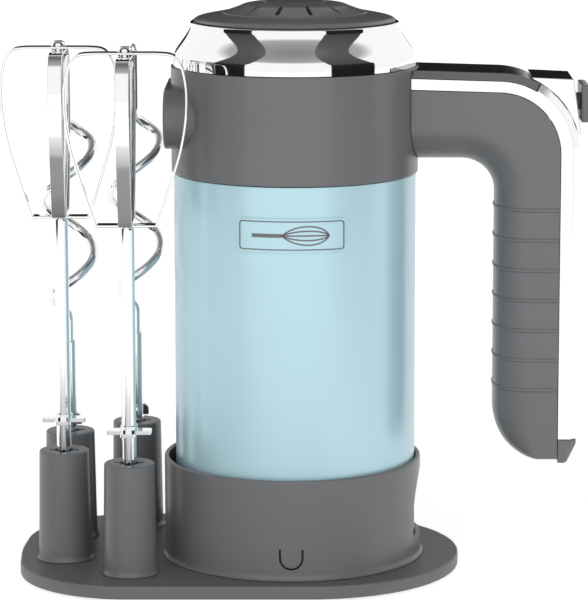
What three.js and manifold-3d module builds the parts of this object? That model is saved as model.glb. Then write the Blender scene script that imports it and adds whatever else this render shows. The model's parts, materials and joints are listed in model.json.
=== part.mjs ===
// A hand mixer that stands on its heel in the cup of a storage stand, with two beaters and two
// spiral dough hooks in the stand's four posts. Millimetres, +Z up. The mixer is modelled round
// its motor axis, and the whole object is then moved so that the middle of its base is the origin.
import * as THREE from 'three';
import { mergeVertices } from 'three/addons/utils/BufferGeometryUtils.js';
import Module from 'manifold-3d';

const wasm = await Module();
wasm.setup();

// ---------------------------------------------------------------- driving dimensions
const GAP = 0.3; // between pieces that touch
const SMOOTH = 40; // sides of the large round pieces
const ROUND = 16; // sides of the middle-sized round pieces
const FINE = 12; // sides of shafts and screws

// stand
const FOOT_H = 1.5;
const PLATE_T = 5.5;
const PLATE_TOP = FOOT_H + PLATE_T;
const PLATE_HALF = 61.5;
const PLATE_END_X = 7; // centre of the round end under the cup
const PLATE_CORNER_R = 46; // corners of the squarer end under the tools
const PLATE_CORNER_X = -68.5;
const CUP_X = -1.2;
const CUP_R = 53.6;
const CUP_WALL = 1.9;
const CUP_TOP = 48.7;
const CUP_FLOOR = 2; // thickness of the cup's floor
const WINDOW_HALF = 18; // half-width of the cord window
const WINDOW_SILL = 8;
const WINDOW_TOP = 36.5; // above the plate
const POST_H = 46;
const POST_TOP = PLATE_TOP + POST_H;
const POST_R_TOP = 10.3;
const POST_R_FOOT = 11;
const SOCKET_R = 4.1;
const SOCKET_DEPTH = 31;

// mixer housing
const SLEEVE_R = 50;
const SLEEVE_WALL = 1;
const HEEL_Z = PLATE_TOP + CUP_FLOOR + GAP;
const HEEL_TOP = 34;
const SLEEVE_TOP = 168.2;
const COLLAR_R = 50.9;
const COLLAR_TOP = 212.2;
const RING_TOP = 230;
const TOP = 238.2;
const BOSS_Z = 192;
const BOSS_R = 12.4;
const BOSS_FACE = -53;
const SPINDLE_Y = 19; // the two drive sockets stand this far either side of the middle

// handle, in its side view: x out from the motor axis, z up
const BACK_X = 116.5; // flat back of the grip
const GRIP_X = 82.5; // inner side of the grip
const ARM_Z = 173.9; // underside of the arm
const ARM_TOP_Z = 211.6;
const ARM_SLOPE = 0.0306;
const HANDLE_FOOT_Z = 48.3;
const BACK_FOOT_Z = 56;
const HANDLE_HALF = 19; // half of the handle's thickness
const CHAMFER = 2.7;
const INNER_R = 14; // inside corner between arm and grip
const OUTER_R = 33.3; // outside corner
const GRIP_ROUND = 16.5; // rounding of the side that the fingers hold
const TRIM_DEPTH = 7.7; // how far the trim reaches round the side
const TRIM_WALL = 2.2;
const SHELL_WALL = 2.4;
const COVER_ANGLE = 60; // where the arm's top cover ends, degrees round the outside corner
const COVER_DEPTH = 3;
const TRIM_END_Z = 58.3;
const RIB_COUNT = 7;
const RIB_TOP_Z = 154.1;
const RIB_PITCH = 12.5;
const RIB_H = 1.7;
const RIB_PROUD = 0.45;

// controls
const KNOB_HALF = 11.5;
const KNOB_LOW = 189.3;
const KNOB_HIGH = 204.6;
const BUTTON_OUT = 121.5; // the eject button stands a little proud of the knob that holds it
const KNOB_OUT = 121.2;
const KNOB_Z = (KNOB_LOW + KNOB_HIGH) / 2;
const BUTTON_HALF = 4.4;
const BUTTON_T = 1.2;
const BUTTON_TRAVEL = 2; // pressed, the button stops just short of the floor of its window
const WEDGE_HALF = 16.3;
const STEM_R = 2.4;
const KNOB_TUBE_R = 3.6; // the tube behind the knob, which the button's stem runs in
const KNOB_TUBE_END = 99.5;
const SELECTOR_TRAVEL = 8;
const STEM_END = 97;

// drive
const SHAFT_R = 4;
const WORM_R = 6;
const WORM_ROOT = 4.7;
const WHEEL_TEETH = 20;
const WHEEL_PITCH_R = 13.2;
const WHEEL_R = 14;
const WHEEL_ROOT = 12.4;
const WORM_PITCH = (2 * Math.PI * WHEEL_PITCH_R) / WHEEL_TEETH;
const SPINDLE_R = 6.5;
const SPINDLE_BORE = 3.5;

// tools
const TOOL_R = 3;
const SPINE_R = 1.9; // of a beater's shaft inside its cage
const TOOL_FOOT = POST_TOP - SOCKET_DEPTH + GAP;
const BEATER_TOP = 221;
const BEATER_LOW = 150.5;
const STRIP_W = 6.2;
const STRIP_T = 1;
const COLLAR_Z = 65.2;
const HOOK_R = 10.8;
const HOOK_WIRE = 2.1;
const HOOK_TOP = 217.4;
const HOOK_TURNS_TOP = 188;
const HOOK_TURNS_LOW = 103;
const HOOK_PITCH = 45.4;
const HOOK_LOBE_Z = 174.7; // height where a turn of the right-handed spiral points to +X
const HOOK_SLEEVE_TOP = 92;

// posts, and the tool that each holds: x, y, half-width of the beater's cage
const POSTS = {
  front_left: { x: -95.9, y: -14, cage: 23.9 },
  front_right: { x: -67.4, y: -38, cage: 25 },
  back_left: { x: -96.3, y: 24 },
  back_right: { x: -68.9, y: 43.5 },
};
const LEFT_END = POSTS.front_left.x - POSTS.front_left.cage;
const CENTRE_X = (LEFT_END + BUTTON_OUT) / 2;

// ---------------------------------------------------------------- finishes
const GREY = [0x6e6f72, 0.55, 0];
const DARK = [0x33343a, 0.5, 0];
const CHROME = [0xe8eaec, 0.08, 1];
const BLUE = [0xb4d4e2, 0.35, 0.1];
const RUBBER = [0x2b2b2c, 0.9, 0];
const STEEL = [0xb9bcc0, 0.3, 1];
const COPPER = [0xb4683a, 0.35, 1];
const NYLON = [0xe6e2d2, 0.5, 0];
const BRASS = [0xc8a24a, 0.3, 1];
const BLACK = [0x1d1d1f, 0.5, 0];

// ---------------------------------------------------------------- solids
const rad = THREE.MathUtils.degToRad;

function solid(geometry) {
  const bare = geometry.clone();
  bare.deleteAttribute('normal');
  bare.deleteAttribute('uv');
  const merged = mergeVertices(bare, 1e-4);
  const p = merged.attributes.position.array;
  const t = merged.index.array;
  const a = new THREE.Vector3();
  const b = new THREE.Vector3();
  const c = new THREE.Vector3();
  let volume = 0;
  for (let i = 0; i < t.length; i += 3) {
    a.fromArray(p, t[i] * 3);
    b.fromArray(p, t[i + 1] * 3);
    c.fromArray(p, t[i + 2] * 3);
    volume += a.dot(b.cross(c));
  }
  const tri = Uint32Array.from(t);
  if (volume < 0) tri.reverse();
  return new wasm.Manifold(new wasm.Mesh({
    numProp: 3, vertProperties: Float32Array.from(p), triVerts: tri,
  }));
}

const union = (...all) => all.reduce((sum, next) => sum.add(next));
const cut = (from, ...all) => all.reduce((rest, next) => rest.subtract(next), from);

function box(x0, x1, y0, y1, z0, z1) {
  const g = new THREE.BoxGeometry(x1 - x0, y1 - y0, z1 - z0);
  return solid(g.translate((x0 + x1) / 2, (y0 + y1) / 2, (z0 + z1) / 2));
}

// upright cylinder or cone
function post(x, y, z0, z1, r0, r1 = r0, sides = ROUND) {
  const g = new THREE.CylinderGeometry(r1, r0, z1 - z0, sides).rotateX(Math.PI / 2);
  return solid(g.translate(x, y, (z0 + z1) / 2));
}

// cylinder along X
function rod(x0, x1, y, z, r, sides = FINE) {
  const g = new THREE.CylinderGeometry(r, r, x1 - x0, sides).rotateZ(Math.PI / 2);
  return solid(g.translate((x0 + x1) / 2, y, z));
}

// turned about Z from (radius, height) points that start and end on the axis or close
function turned(points, sides = SMOOTH) {
  const outline = points.map(([r, z]) => new THREE.Vector2(r, z));
  return solid(new THREE.LatheGeometry(outline, sides).rotateX(Math.PI / 2));
}

function tube(z0, z1, outer, inner, sides = SMOOTH) {
  return turned([[inner, z0], [outer, z0], [outer, z1], [inner, z1], [inner, z0]], sides);
}

// an outline drawn in x and y, standing from z0 to z1
function plate(shape, z0, z1, curveSegments = 9) {
  const g = new THREE.ExtrudeGeometry(shape, { depth: z1 - z0, bevelEnabled: false, curveSegments });
  return solid(g.translate(0, 0, z0));
}

// an outline drawn in x and z, from y0 to y1
function side(shape, y0, y1, curveSegments = 8) {
  const g = new THREE.ExtrudeGeometry(shape, { depth: y1 - y0, bevelEnabled: false, curveSegments });
  return solid(g.rotateX(Math.PI / 2).translate(0, y1, 0));
}

const outlineOf = (points) => new THREE.Shape(points.map(([x, z]) => new THREE.Vector2(x, z)));

// rings of equal point count, joined into a closed skin with flat ends
function loft(rings) {
  const n = rings[0].length;
  const position = rings.flat().flat();
  const index = [];
  for (let k = 0; k < rings.length - 1; k++) {
    for (let i = 0; i < n; i++) {
      const a = k * n + i;
      const b = k * n + ((i + 1) % n);
      index.push(a, b, b + n, a, b + n, a + n);
    }
  }
  const flat = rings[0].map((p) => p.filter((_, axis) => rings[0].some((q) => q[axis] !== p[axis])));
  const cap = THREE.ShapeUtils.triangulateShape(flat.map(([u, v]) => new THREE.Vector2(u, v)), []);
  const last = (rings.length - 1) * n;
  const turn = capFaces(cap, n);
  turn.forEach(([a, b, c]) => index.push(a, c, b, last + a, last + b, last + c));
  const g = new THREE.BufferGeometry();
  g.setAttribute('position', new THREE.Float32BufferAttribute(position, 3));
  g.setIndex(index);
  return solid(g);
}

// end faces run the same way round as the outline
function capFaces(faces, n) {
  const follows = faces.some(([a, b, c]) => [[a, b], [b, c], [c, a]].some(([p, q]) => q === (p + 1) % n));
  return follows ? faces : faces.map(([a, b, c]) => [a, c, b]);
}

function arc(cx, cz, r, from, to, steps) {
  return Array.from({ length: steps + 1 }, (_, i) => {
    const angle = rad(from + ((to - from) * i) / steps);
    return [cx + r * Math.cos(angle), cz + r * Math.sin(angle)];
  });
}

const group = new THREE.Group();

function add(name, body, [color, roughness, metalness], parent = group) {
  const { vertProperties, triVerts } = body.getMesh();
  const g = new THREE.BufferGeometry();
  g.setAttribute('position', new THREE.Float32BufferAttribute(vertProperties, 3));
  g.setIndex(Array.from(triVerts));
  const mesh = new THREE.Mesh(g, new THREE.MeshStandardMaterial({ color, roughness, metalness }));
  mesh.name = name;
  parent.add(mesh);
}

// ---------------------------------------------------------------- stand
function plateShape(inset = 0) {
  const half = PLATE_HALF - inset;
  const corner = PLATE_CORNER_R - inset;
  const low = PLATE_HALF - PLATE_CORNER_R;
  const shape = new THREE.Shape();
  shape.moveTo(PLATE_CORNER_X, -half);
  shape.lineTo(PLATE_END_X, -half);
  shape.absarc(PLATE_END_X, 0, half, -Math.PI / 2, Math.PI / 2, false);
  shape.lineTo(PLATE_CORNER_X, half);
  shape.absarc(PLATE_CORNER_X, low, corner, Math.PI / 2, Math.PI, false);
  shape.quadraticCurveTo(PLATE_CORNER_X - corner - 1.6, 0, PLATE_CORNER_X - corner, -low);
  shape.absarc(PLATE_CORNER_X, -low, corner, Math.PI, Math.PI * 1.5, false);
  return shape;
}

function standPlate() {
  const shell = cut(plate(plateShape(), FOOT_H, PLATE_TOP), plate(plateShape(2.2), 0, PLATE_TOP - 2));
  const pads = Object.values(POSTS).map(({ x, y }) => post(x, y, FOOT_H + 1.4, PLATE_TOP - 1, 6));
  return union(shell, ...pads);
}

function baseCover() {
  return plate(plateShape(2.2 + GAP), FOOT_H, FOOT_H + 1.1);
}

function standCup() {
  const z0 = PLATE_TOP + GAP;
  const floorTop = PLATE_TOP + CUP_FLOOR;
  const outside = [[0, z0], [CUP_R + 1.2, z0], [CUP_R + 0.3, z0 + 1.2], [CUP_R, z0 + 3]];
  const inside = [[CUP_R, CUP_TOP - 0.6], [CUP_R - 0.6, CUP_TOP], [CUP_R - CUP_WALL, CUP_TOP]];
  const floor = [[CUP_R - CUP_WALL, floorTop], [0, floorTop]];
  const cup = turned([...outside, ...inside, ...floor]);
  const windowHole = new THREE.Shape();
  windowHole.moveTo(-WINDOW_HALF, WINDOW_SILL + PLATE_TOP);
  windowHole.lineTo(WINDOW_HALF, WINDOW_SILL + PLATE_TOP);
  windowHole.lineTo(WINDOW_HALF, 24);
  windowHole.bezierCurveTo(WINDOW_HALF, 32, 14, 38, 9, WINDOW_TOP + PLATE_TOP - 2);
  windowHole.quadraticCurveTo(0, WINDOW_TOP + PLATE_TOP + 1, -9, WINDOW_TOP + PLATE_TOP - 2);
  windowHole.bezierCurveTo(-14, 38, -WINDOW_HALF, 32, -WINDOW_HALF, 24);
  const g = new THREE.ExtrudeGeometry(windowHole, { depth: 30, bevelEnabled: false, curveSegments: 6 });
  const opening = solid(g.rotateX(Math.PI / 2).rotateZ(Math.PI / 2).translate(30, 0, 0));
  const tab = tabSlot().translate([0, -CUP_R, 0]);
  return cut(cup.translate([CUP_X, 0, 0]), opening, tab);
}

// the thin U-shaped slot that frees the cup's snap tab
function tabSlot() {
  const half = 5;
  const low = 12.6;
  const high = 20.2;
  const width = 0.9;
  const outer = new THREE.Shape();
  outer.moveTo(-half, high);
  outer.lineTo(-half, low + half - 1);
  outer.absarc(0, low + half - 1, half, Math.PI, 2 * Math.PI, false);
  outer.lineTo(half, high);
  outer.lineTo(half - width, high);
  outer.lineTo(half - width, low + half - 1);
  outer.absarc(0, low + half - 1, half - width, 0, Math.PI, true);
  outer.lineTo(width - half, high);
  return side(outer, -4, 4, 10);
}

function toolPost({ x, y }) {
  const z0 = PLATE_TOP + GAP;
  const profile = [[0, z0], [POST_R_FOOT + 0.9, z0], [POST_R_FOOT, z0 + 1.2],
    [POST_R_TOP, POST_TOP - 0.8], [POST_R_TOP - 0.8, POST_TOP], [0, POST_TOP]];
  const hole = post(0, 0, POST_TOP - SOCKET_DEPTH, POST_TOP + 1, SOCKET_R, SOCKET_R, FINE);
  const key = 6;
  const slots = [box(-key, key, -1, 1, POST_TOP - 5, POST_TOP + 1),
    box(-1, 1, -key, key, POST_TOP - 5, POST_TOP + 1)];
  return cut(turned(profile, 24), hole, ...slots).translate([x, y, 0]);
}

function foot(x, y) {
  return post(x, y, 0, FOOT_H - GAP, 5.5, 6, ROUND);
}

add('stand_plate', standPlate(), GREY);
add('base_cover', baseCover(), DARK);
add('stand_cup', standCup(), GREY);
for (const [place, at] of Object.entries(POSTS)) add(`tool_post_${place}`, toolPost(at), GREY);
[[-88, -34], [-88, 34], [30, -34], [30, 34]].forEach(([x, y], i) => {
  add(`foot_${i + 1}`, foot(x, y), RUBBER);
});

// ---------------------------------------------------------------- mixer housing
function bodySleeve() {
  return tube(HEEL_TOP + GAP, SLEEVE_TOP - GAP, SLEEVE_R, SLEEVE_R - SLEEVE_WALL);
}

const INLET_Z = 22;

function heelCap() {
  const r = SLEEVE_R;
  const wall = 2.4;
  const spigot = r - SLEEVE_WALL - GAP;
  const skin = turned([[0, HEEL_Z], [r - 4, HEEL_Z], [r - 1, HEEL_Z + 1.6], [r, HEEL_Z + 4.5],
    [r, HEEL_TOP], [spigot, HEEL_TOP], [spigot, HEEL_TOP + 5], [spigot - wall, HEEL_TOP + 5],
    [spigot - wall, HEEL_Z + wall], [0, HEEL_Z + wall]]);
  return cut(skin, rod(35, 60, 0, INLET_Z, 5.2, FINE));
}

function inletBush() {
  const body = union(rod(44.6, SLEEVE_R - 0.1, 0, INLET_Z, 4.8), rod(43, 45.2, 0, INLET_Z, 6.6));
  return cut(body, rod(40, 60, 0, INLET_Z, 3.2));
}

function frontCollar() {
  const z0 = SLEEVE_TOP;
  const r = COLLAR_R;
  const skin = turned([[r - 3, z0], [r - 0.5, z0], [r, z0 + 0.8], [r, COLLAR_TOP - GAP],
    [r - 4, COLLAR_TOP - GAP], [r - 4, COLLAR_TOP - 4], [r - 3, COLLAR_TOP - 6], [r - 3, z0]]);
  const boss = new THREE.Shape();
  boss.moveTo(-SPINDLE_Y, BOSS_Z - BOSS_R);
  boss.lineTo(SPINDLE_Y, BOSS_Z - BOSS_R);
  boss.absarc(SPINDLE_Y, BOSS_Z, BOSS_R, -Math.PI / 2, Math.PI / 2, false);
  boss.lineTo(-SPINDLE_Y, BOSS_Z + BOSS_R);
  boss.absarc(-SPINDLE_Y, BOSS_Z, BOSS_R, Math.PI / 2, Math.PI * 1.5, false);
  const g = new THREE.ExtrudeGeometry(boss, {
    depth: 21, bevelEnabled: true, bevelSize: 0.8, bevelThickness: 0.8, bevelOffset: -0.8,
    bevelSegments: 1, curveSegments: 6,
  });
  g.rotateX(Math.PI / 2).rotateZ(Math.PI / 2).translate(BOSS_FACE + 0.8, 0, 0);
  const block = solid(g);
  const hollow = post(0, 0, z0 - 5, COLLAR_TOP - 6, r - 3, r - 3, SMOOTH);
  const holes = [-SPINDLE_Y, SPINDLE_Y].map((y) => rod(-60, -20, y, BOSS_Z, 8.2, ROUND));
  const rodHole = rod(40, 60, 0, KNOB_Z, STEM_R + GAP);
  return cut(union(skin, block), hollow, ...holes, rodHole);
}

// the chrome ring under the cap: a short upright foot, a convex shoulder, a hollow neck, a lip
function noseRing() {
  const wall = 1.6;
  const foot = COLLAR_TOP;
  const neck = new THREE.CubicBezierCurve(
    new THREE.Vector2(49.8, foot + 4.4), new THREE.Vector2(49, foot + 8.4),
    new THREE.Vector2(44.6, foot + 10), new THREE.Vector2(42.9, RING_TOP - 1.6),
  ).getPoints(4).map((p) => [p.x, p.y]);
  const outside = [[50, foot], ...neck, [42.9, RING_TOP - 0.4], [42.4, RING_TOP]];
  const inside = [[42.4 - wall, RING_TOP], [42.9 - wall, RING_TOP - 2],
    [46.6 - wall, foot + 8], [49.6 - wall, foot + 4], [50 - wall, foot]];
  return turned([...outside, ...inside, [50, foot]]);
}

function noseCap() {
  const z0 = RING_TOP - 1;
  const top = new THREE.SplineCurve([[41.6, 230.6], [39.6, 231.8], [34, 233], [28.9, 234], [23.6, 235.8],
    [19.9, 237.2], [13.7, 237.9], [6, TOP]].map(([r, z]) => new THREE.Vector2(r, z)));
  const outside = top.getPoints(6).map((p) => [p.x, p.y]);
  const skin = turned([[0, z0], [40.4, z0], [40.4, 229.8], ...outside, [0, TOP]]);
  const under = turned([[0, z0 - 1], [38, z0 - 1], [38, 229.6], [24, 233], [0, 236]], 20);
  return cut(skin, under, ...ventSlots());
}

function ventSlots() {
  const slots = 12;
  return Array.from({ length: slots }, (_, i) => {
    const slot = box(15.5, 27, -0.9, 0.9, 226, 240);
    return slot.rotate([0, 0, (360 * (i + 0.5)) / slots]);
  });
}

function badgePlate() {
  const shape = new THREE.Shape();
  const [left, right, h, r] = [-22.8, 21.2, 6.8, 1.7];
  const z = 148.6;
  shape.moveTo(left + r, z - h);
  shape.lineTo(right - r, z - h);
  shape.absarc(right - r, z - h + r, r, -Math.PI / 2, 0, false);
  shape.absarc(right - r, z + h - r, r, 0, Math.PI / 2, false);
  shape.absarc(left + r, z + h - r, r, Math.PI / 2, Math.PI, false);
  shape.absarc(left + r, z - h + r, r, Math.PI, Math.PI * 1.5, false);
  const ring = tube(z - h - 1, z + h + 1, SLEEVE_R + GAP + 0.5, SLEEVE_R + GAP, SMOOTH);
  return ring.intersect(side(shape, -60, 0, 4));
}

add('body_sleeve', bodySleeve(), BLUE);
add('heel_cap', heelCap(), GREY);
add('inlet_bush', inletBush(), RUBBER);
add('front_collar', frontCollar(), GREY);
add('nose_ring', noseRing(), CHROME);
add('nose_cap', noseCap(), GREY);
add('badge_plate', badgePlate(), BLUE);

// ---------------------------------------------------------------- handle
const CORNER_X = BACK_X - OUTER_R;
const ARM_END_X = 40; // inside the collar, trimmed to it later
const CORNER_Z = ARM_TOP_Z - (CORNER_X - ARM_END_X) * ARM_SLOPE - OUTER_R;

// the side view of the handle's outer edge, from its foot round to the arm's end
function outerEdge(inset) {
  const corner = arc(CORNER_X, CORNER_Z, OUTER_R - inset, 0, 90 - 1.7, 9);
  const footRise = inset * 0.4;
  return [[BACK_X - 3.7 - inset, HANDLE_FOOT_Z + footRise], [BACK_X - inset, BACK_FOOT_Z + footRise],
    ...corner, [ARM_END_X, ARM_TOP_Z - inset]];
}

// the side view of the inner edge, from the arm's end down to the foot
function innerEdge(inset) {
  const inner = arc(GRIP_X - INNER_R, ARM_Z - INNER_R, INNER_R + inset, 90, 0, 5);
  const foot = [];
  const steps = 5;
  for (let i = 0; i <= steps; i++) {
    const angle = rad(180 + (90 * i) / steps);
    foot.push([GRIP_X + 18.5 + (18.5 - inset) * Math.cos(angle), 70.5 + (22.2 - inset) * Math.sin(angle)]);
  }
  return [[ARM_END_X, ARM_Z + inset], ...inner, ...foot];
}

const ring = (edge, y) => edge.map(([x, z]) => [x, y, z]);

// layers of the handle's side view, rounded on the finger side
function handleSolid(outerInset, wall) {
  const half = HANDLE_HALF - wall;
  const round = GRIP_ROUND - wall;
  const steps = 4;
  const layers = [];
  for (let i = -steps; i <= steps; i++) {
    const angle = (i / steps) * (Math.PI / 2);
    const y = Math.sign(i) * (half - round) + round * Math.sin(angle);
    const inset = wall + round * (1 - Math.cos(angle)) * 0.86;
    layers.push(ring([...innerEdge(inset), ...outerEdge(outerInset)], y));
  }
  return loft(layers);
}

// a strip along the outer edge between two insets, chamfered on its outer corners
function edgeStrip(from, to, half, chamfer) {
  const layer = (extra, y) => ring([...outerEdge(from + extra), ...outerEdge(to).reverse()], y);
  const layers = [layer(chamfer, -half), layer(0, chamfer - half), layer(0, half - chamfer),
    layer(chamfer, half)];
  return loft(chamfer ? layers : [layer(0, -half), layer(0, half)]);
}

const collarSpace = () => post(0, 0, 100, 240, COLLAR_R + GAP, COLLAR_R + GAP, SMOOTH);

function trimChannel() {
  const channel = cut(edgeStrip(0, TRIM_DEPTH, HANDLE_HALF, CHAMFER),
    edgeStrip(TRIM_WALL, TRIM_DEPTH + 2, HANDLE_HALF - TRIM_WALL, 0));
  return cut(channel, collarSpace());
}

// the side view of the part of the channel that the arm's dark top cover takes
function coverSpace(grow) {
  const limit = 90 - COVER_ANGLE;
  const from = 90 - limit - (grow > 0 ? 1 : 0);
  const rim = arc(CORNER_X, CORNER_Z, OUTER_R + 3, from, 88.3, 8);
  const inner = arc(CORNER_X, CORNER_Z, OUTER_R - COVER_DEPTH - grow, from, 88.3, 8).reverse();
  const points = [...rim, [20, ARM_TOP_Z + 4], [20, ARM_TOP_Z - COVER_DEPTH - grow + 0.6], ...inner];
  return side(outlineOf(points), -HANDLE_HALF - 1, HANDLE_HALF + 1);
}

function shellHalf(sign) {
  const skin = handleSolid(TRIM_DEPTH + GAP, 0);
  const room = handleSolid(TRIM_DEPTH + GAP + SHELL_WALL, SHELL_WALL);
  const ribs = gripRibs();
  const half = sign < 0 ? box(0, 200, -40, -GAP / 2, 0, 300) : box(0, 200, GAP / 2, 40, 0, 300);
  const rodWay = rod(30, 115, 0, KNOB_Z, STEM_R + 1);
  return cut(union(skin, ribs).intersect(half), room, collarSpace(), knobWay(), rodWay, ...screwHoles());
}

// low ribs round the grip, from one side of the trim to the other
function gripRibs() {
  const back = BACK_X - TRIM_DEPTH - GAP - 0.5;
  const ribs = [];
  for (let k = 0; k < RIB_COUNT; k++) {
    const z = RIB_TOP_Z - k * RIB_PITCH;
    const around = gripSection(RIB_PROUD).filter(([x]) => x < back);
    const half = HANDLE_HALF + RIB_PROUD;
    const shape = outlineOf([...around, [back, -half], [back, half]]);
    ribs.push(plate(shape, z - RIB_H / 2, z + RIB_H / 2));
  }
  return union(...ribs);
}

// the grip's cross-section, grown a little, from its rear side round the fingers to its front side
function gripSection(grow) {
  const steps = 8;
  return Array.from({ length: steps + 1 }, (_, i) => {
    const angle = ((i - steps / 2) / (steps / 2)) * (Math.PI / 2);
    const y = Math.sign(i - steps / 2) * (HANDLE_HALF - GRIP_ROUND) + GRIP_ROUND * Math.sin(angle);
    const x = GRIP_X + GRIP_ROUND * (1 - Math.cos(angle)) * 0.86;
    return [x - grow * Math.cos(angle), y + grow * Math.sin(angle)];
  }).reverse();
}

const SCREWS = [[72, 192], [99, 72]];

function screwHoles() {
  const depth = 6;
  return SCREWS.map(([x, z]) => {
    return solid(new THREE.CylinderGeometry(3.2, 3.2, depth, FINE).translate(x, HANDLE_HALF, z));
  });
}

// the upright slot that the knob's tube slides in
function knobWay() {
  const half = KNOB_TUBE_R + 0.4;
  return box(90, 130, -half, half, KNOB_Z - SELECTOR_TRAVEL - half, KNOB_Z + half);
}

function handleScrew([x, z]) {
  const y0 = HANDLE_HALF - 3 + GAP;
  const disc = new THREE.CylinderGeometry(2.8, 2.8, 1.6, FINE).translate(x, y0 + 0.8, z);
  const cross = [box(x - 1.7, x + 1.7, y0 + 0.9, y0 + 3, z - 0.35, z + 0.35),
    box(x - 0.35, x + 0.35, y0 + 0.9, y0 + 3, z - 1.7, z + 1.7)];
  return cut(solid(disc), ...cross);
}

function controlWedge() {
  const lift = GAP;
  const start = 66; // degrees round the corner where the wedge's top begins
  const back = arc(CORNER_X, CORNER_Z, OUTER_R + lift, 13, start, 10).reverse();
  const top = [CORNER_X + (OUTER_R + lift) * Math.cos(rad(start)), 208.4];
  const shape = outlineOf([top, ...back, [BACK_X + 0.5, 184.8], [113.8, 207.6]]);
  const body = side(shape, -WEDGE_HALF, WEDGE_HALF);
  return cut(body, knobWay());
}

const channel = trimChannel();
const footSpace = (top) => box(60, 140, -30, 30, 0, top);
add('handle_shell_front', shellHalf(-1), GREY);
add('handle_shell_rear', shellHalf(1), GREY);
add('arm_top_cover', cut(channel.intersect(coverSpace(0)), knobWay()), BLACK);
add('spine_trim', cut(channel, coverSpace(GAP), footSpace(TRIM_END_Z), knobWay()), CHROME);
add('handle_end_cap', channel.intersect(footSpace(TRIM_END_Z - GAP)), GREY);
add('control_wedge', controlWedge(), CHROME);
SCREWS.forEach((at, i) => add(`handle_screw_${i + 1}`, handleScrew(at), STEEL));

// ---------------------------------------------------------------- controls
function speedKnob() {
  const face = BACK_X + 0.5 + GAP;
  const shape = new THREE.Shape();
  const r = 1.6;
  shape.moveTo(face, KNOB_LOW);
  shape.lineTo(KNOB_OUT - r, KNOB_LOW);
  shape.absarc(KNOB_OUT - r, KNOB_LOW + r, r, -Math.PI / 2, 0, false);
  shape.absarc(KNOB_OUT - r, KNOB_HIGH - r, r, 0, Math.PI / 2, false);
  shape.lineTo(face, KNOB_HIGH);
  const block = side(shape, -KNOB_HALF, KNOB_HALF, 5);
  const half = BUTTON_HALF + GAP;
  const floor = BUTTON_OUT - BUTTON_T - BUTTON_TRAVEL - GAP / 2;
  const window = box(floor, 130, -half, half, KNOB_Z - half, KNOB_Z + half);
  const room = rod(90, 130, 0, KNOB_Z, STEM_R + GAP);
  return cut(union(block, rod(KNOB_TUBE_END, face + 1, 0, KNOB_Z, KNOB_TUBE_R, ROUND)), window, room);
}

// the button moves in and out in the knob, and up and down with it
function ejectButton() {
  const cap = box(BUTTON_OUT - BUTTON_T, BUTTON_OUT, -BUTTON_HALF, BUTTON_HALF,
    KNOB_Z - BUTTON_HALF, KNOB_Z + BUTTON_HALF);
  return union(cap, rod(STEM_END, BUTTON_OUT - 1, 0, KNOB_Z, STEM_R));
}

function ejector() {
  const rear = STEM_END - GAP;
  const bridge = box(14, 16.5, -SPINDLE_Y - 5, SPINDLE_Y + 5, BOSS_Z - 5, KNOB_Z + 4);
  const pins = [-SPINDLE_Y, SPINDLE_Y].map((y) => rod(-8, 15, y, BOSS_Z, 2.2));
  return union(bridge, ...pins, rod(15, rear, 0, KNOB_Z, STEM_R - 0.2));
}

function speedSwitch() {
  return union(box(90, 104, -8, 8, 150, 178), box(94, 100, -3, 3, 177, 181));
}

add('speed_knob', speedKnob(), GREY);
add('eject_button', ejectButton(), DARK);
add('ejector', ejector(), NYLON);
add('speed_switch', speedSwitch(), BLACK);

// ---------------------------------------------------------------- motor and drive
const FRAME_R = SLEEVE_R - SLEEVE_WALL - GAP;

function motorFrame() {
  const low = post(0, 0, 58, 61, FRAME_R, FRAME_R, 24);
  const high = post(0, 0, 157, 160, FRAME_R, FRAME_R, 24);
  const hubs = [post(0, 0, 53, 62, 10), post(0, 0, 156, 166, 10)];
  const pillars = [-1, 1].map((s) => box(s > 0 ? 41 : -45, s > 0 ? 45 : -41, -7, 7, 60, 158));
  const bore = post(0, 0, 40, 180, 7 + GAP, 7 + GAP, ROUND);
  return cut(union(low, high, ...hubs, ...pillars), bore);
}

function bearing(z0, z1) {
  return cut(post(0, 0, z0, z1, 7), post(0, 0, z0 - 1, z1 + 1, SHAFT_R + GAP, SHAFT_R + GAP, FINE));
}

function stator() {
  const outer = tube(94, 134, 38, 32, 24);
  const poles = [box(-34, 34, -9, 9, 94, 134), box(-25, 25, -15, 15, 94, 134)];
  return cut(union(outer, ...poles), post(0, 0, 90, 140, 19.6, 19.6, 24));
}

function fieldCoil(sign) {
  const x0 = sign > 0 ? 25 + GAP : -28.6;
  const x1 = sign > 0 ? 28.6 : -25 - GAP;
  const room = [x0 - 1, x1 + 1, -9 - GAP, 9 + GAP, 94 - GAP, 134 + GAP];
  return cut(box(x0, x1, -13, 13, 89.5, 138.5), box(...room));
}

// a ring that holds the two carbon brushes against the commutator
function brushBridge() {
  const brushes = [box(-4, 4, -26, -9 - GAP, 74, 82), box(-4, 4, 9 + GAP, 26, 74, 82)];
  return union(tube(75, 78, 30, 23, ROUND), ...brushes);
}

function armatureCore() {
  const teeth = 12;
  const points = [];
  for (let i = 0; i < teeth; i++) {
    const at = (360 / teeth) * i;
    [[10, -11], [12, -10.2], [18.6, -10.2], [18.6, 0], [18.6, 10.2], [12, 10.2]].forEach(([r, a]) => {
      points.push([r * Math.cos(rad(at + a)), r * Math.sin(rad(at + a))]);
    });
  }
  const shape = new THREE.Shape(points.map(([x, y]) => new THREE.Vector2(x, y)));
  return cut(plate(shape, 96, 132), post(0, 0, 90, 140, SHAFT_R + GAP, SHAFT_R + GAP, FINE));
}

function commutator() {
  return cut(post(0, 0, 70, 86, 9), post(0, 0, 60, 90, SHAFT_R + GAP, SHAFT_R + GAP, FINE));
}

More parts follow.
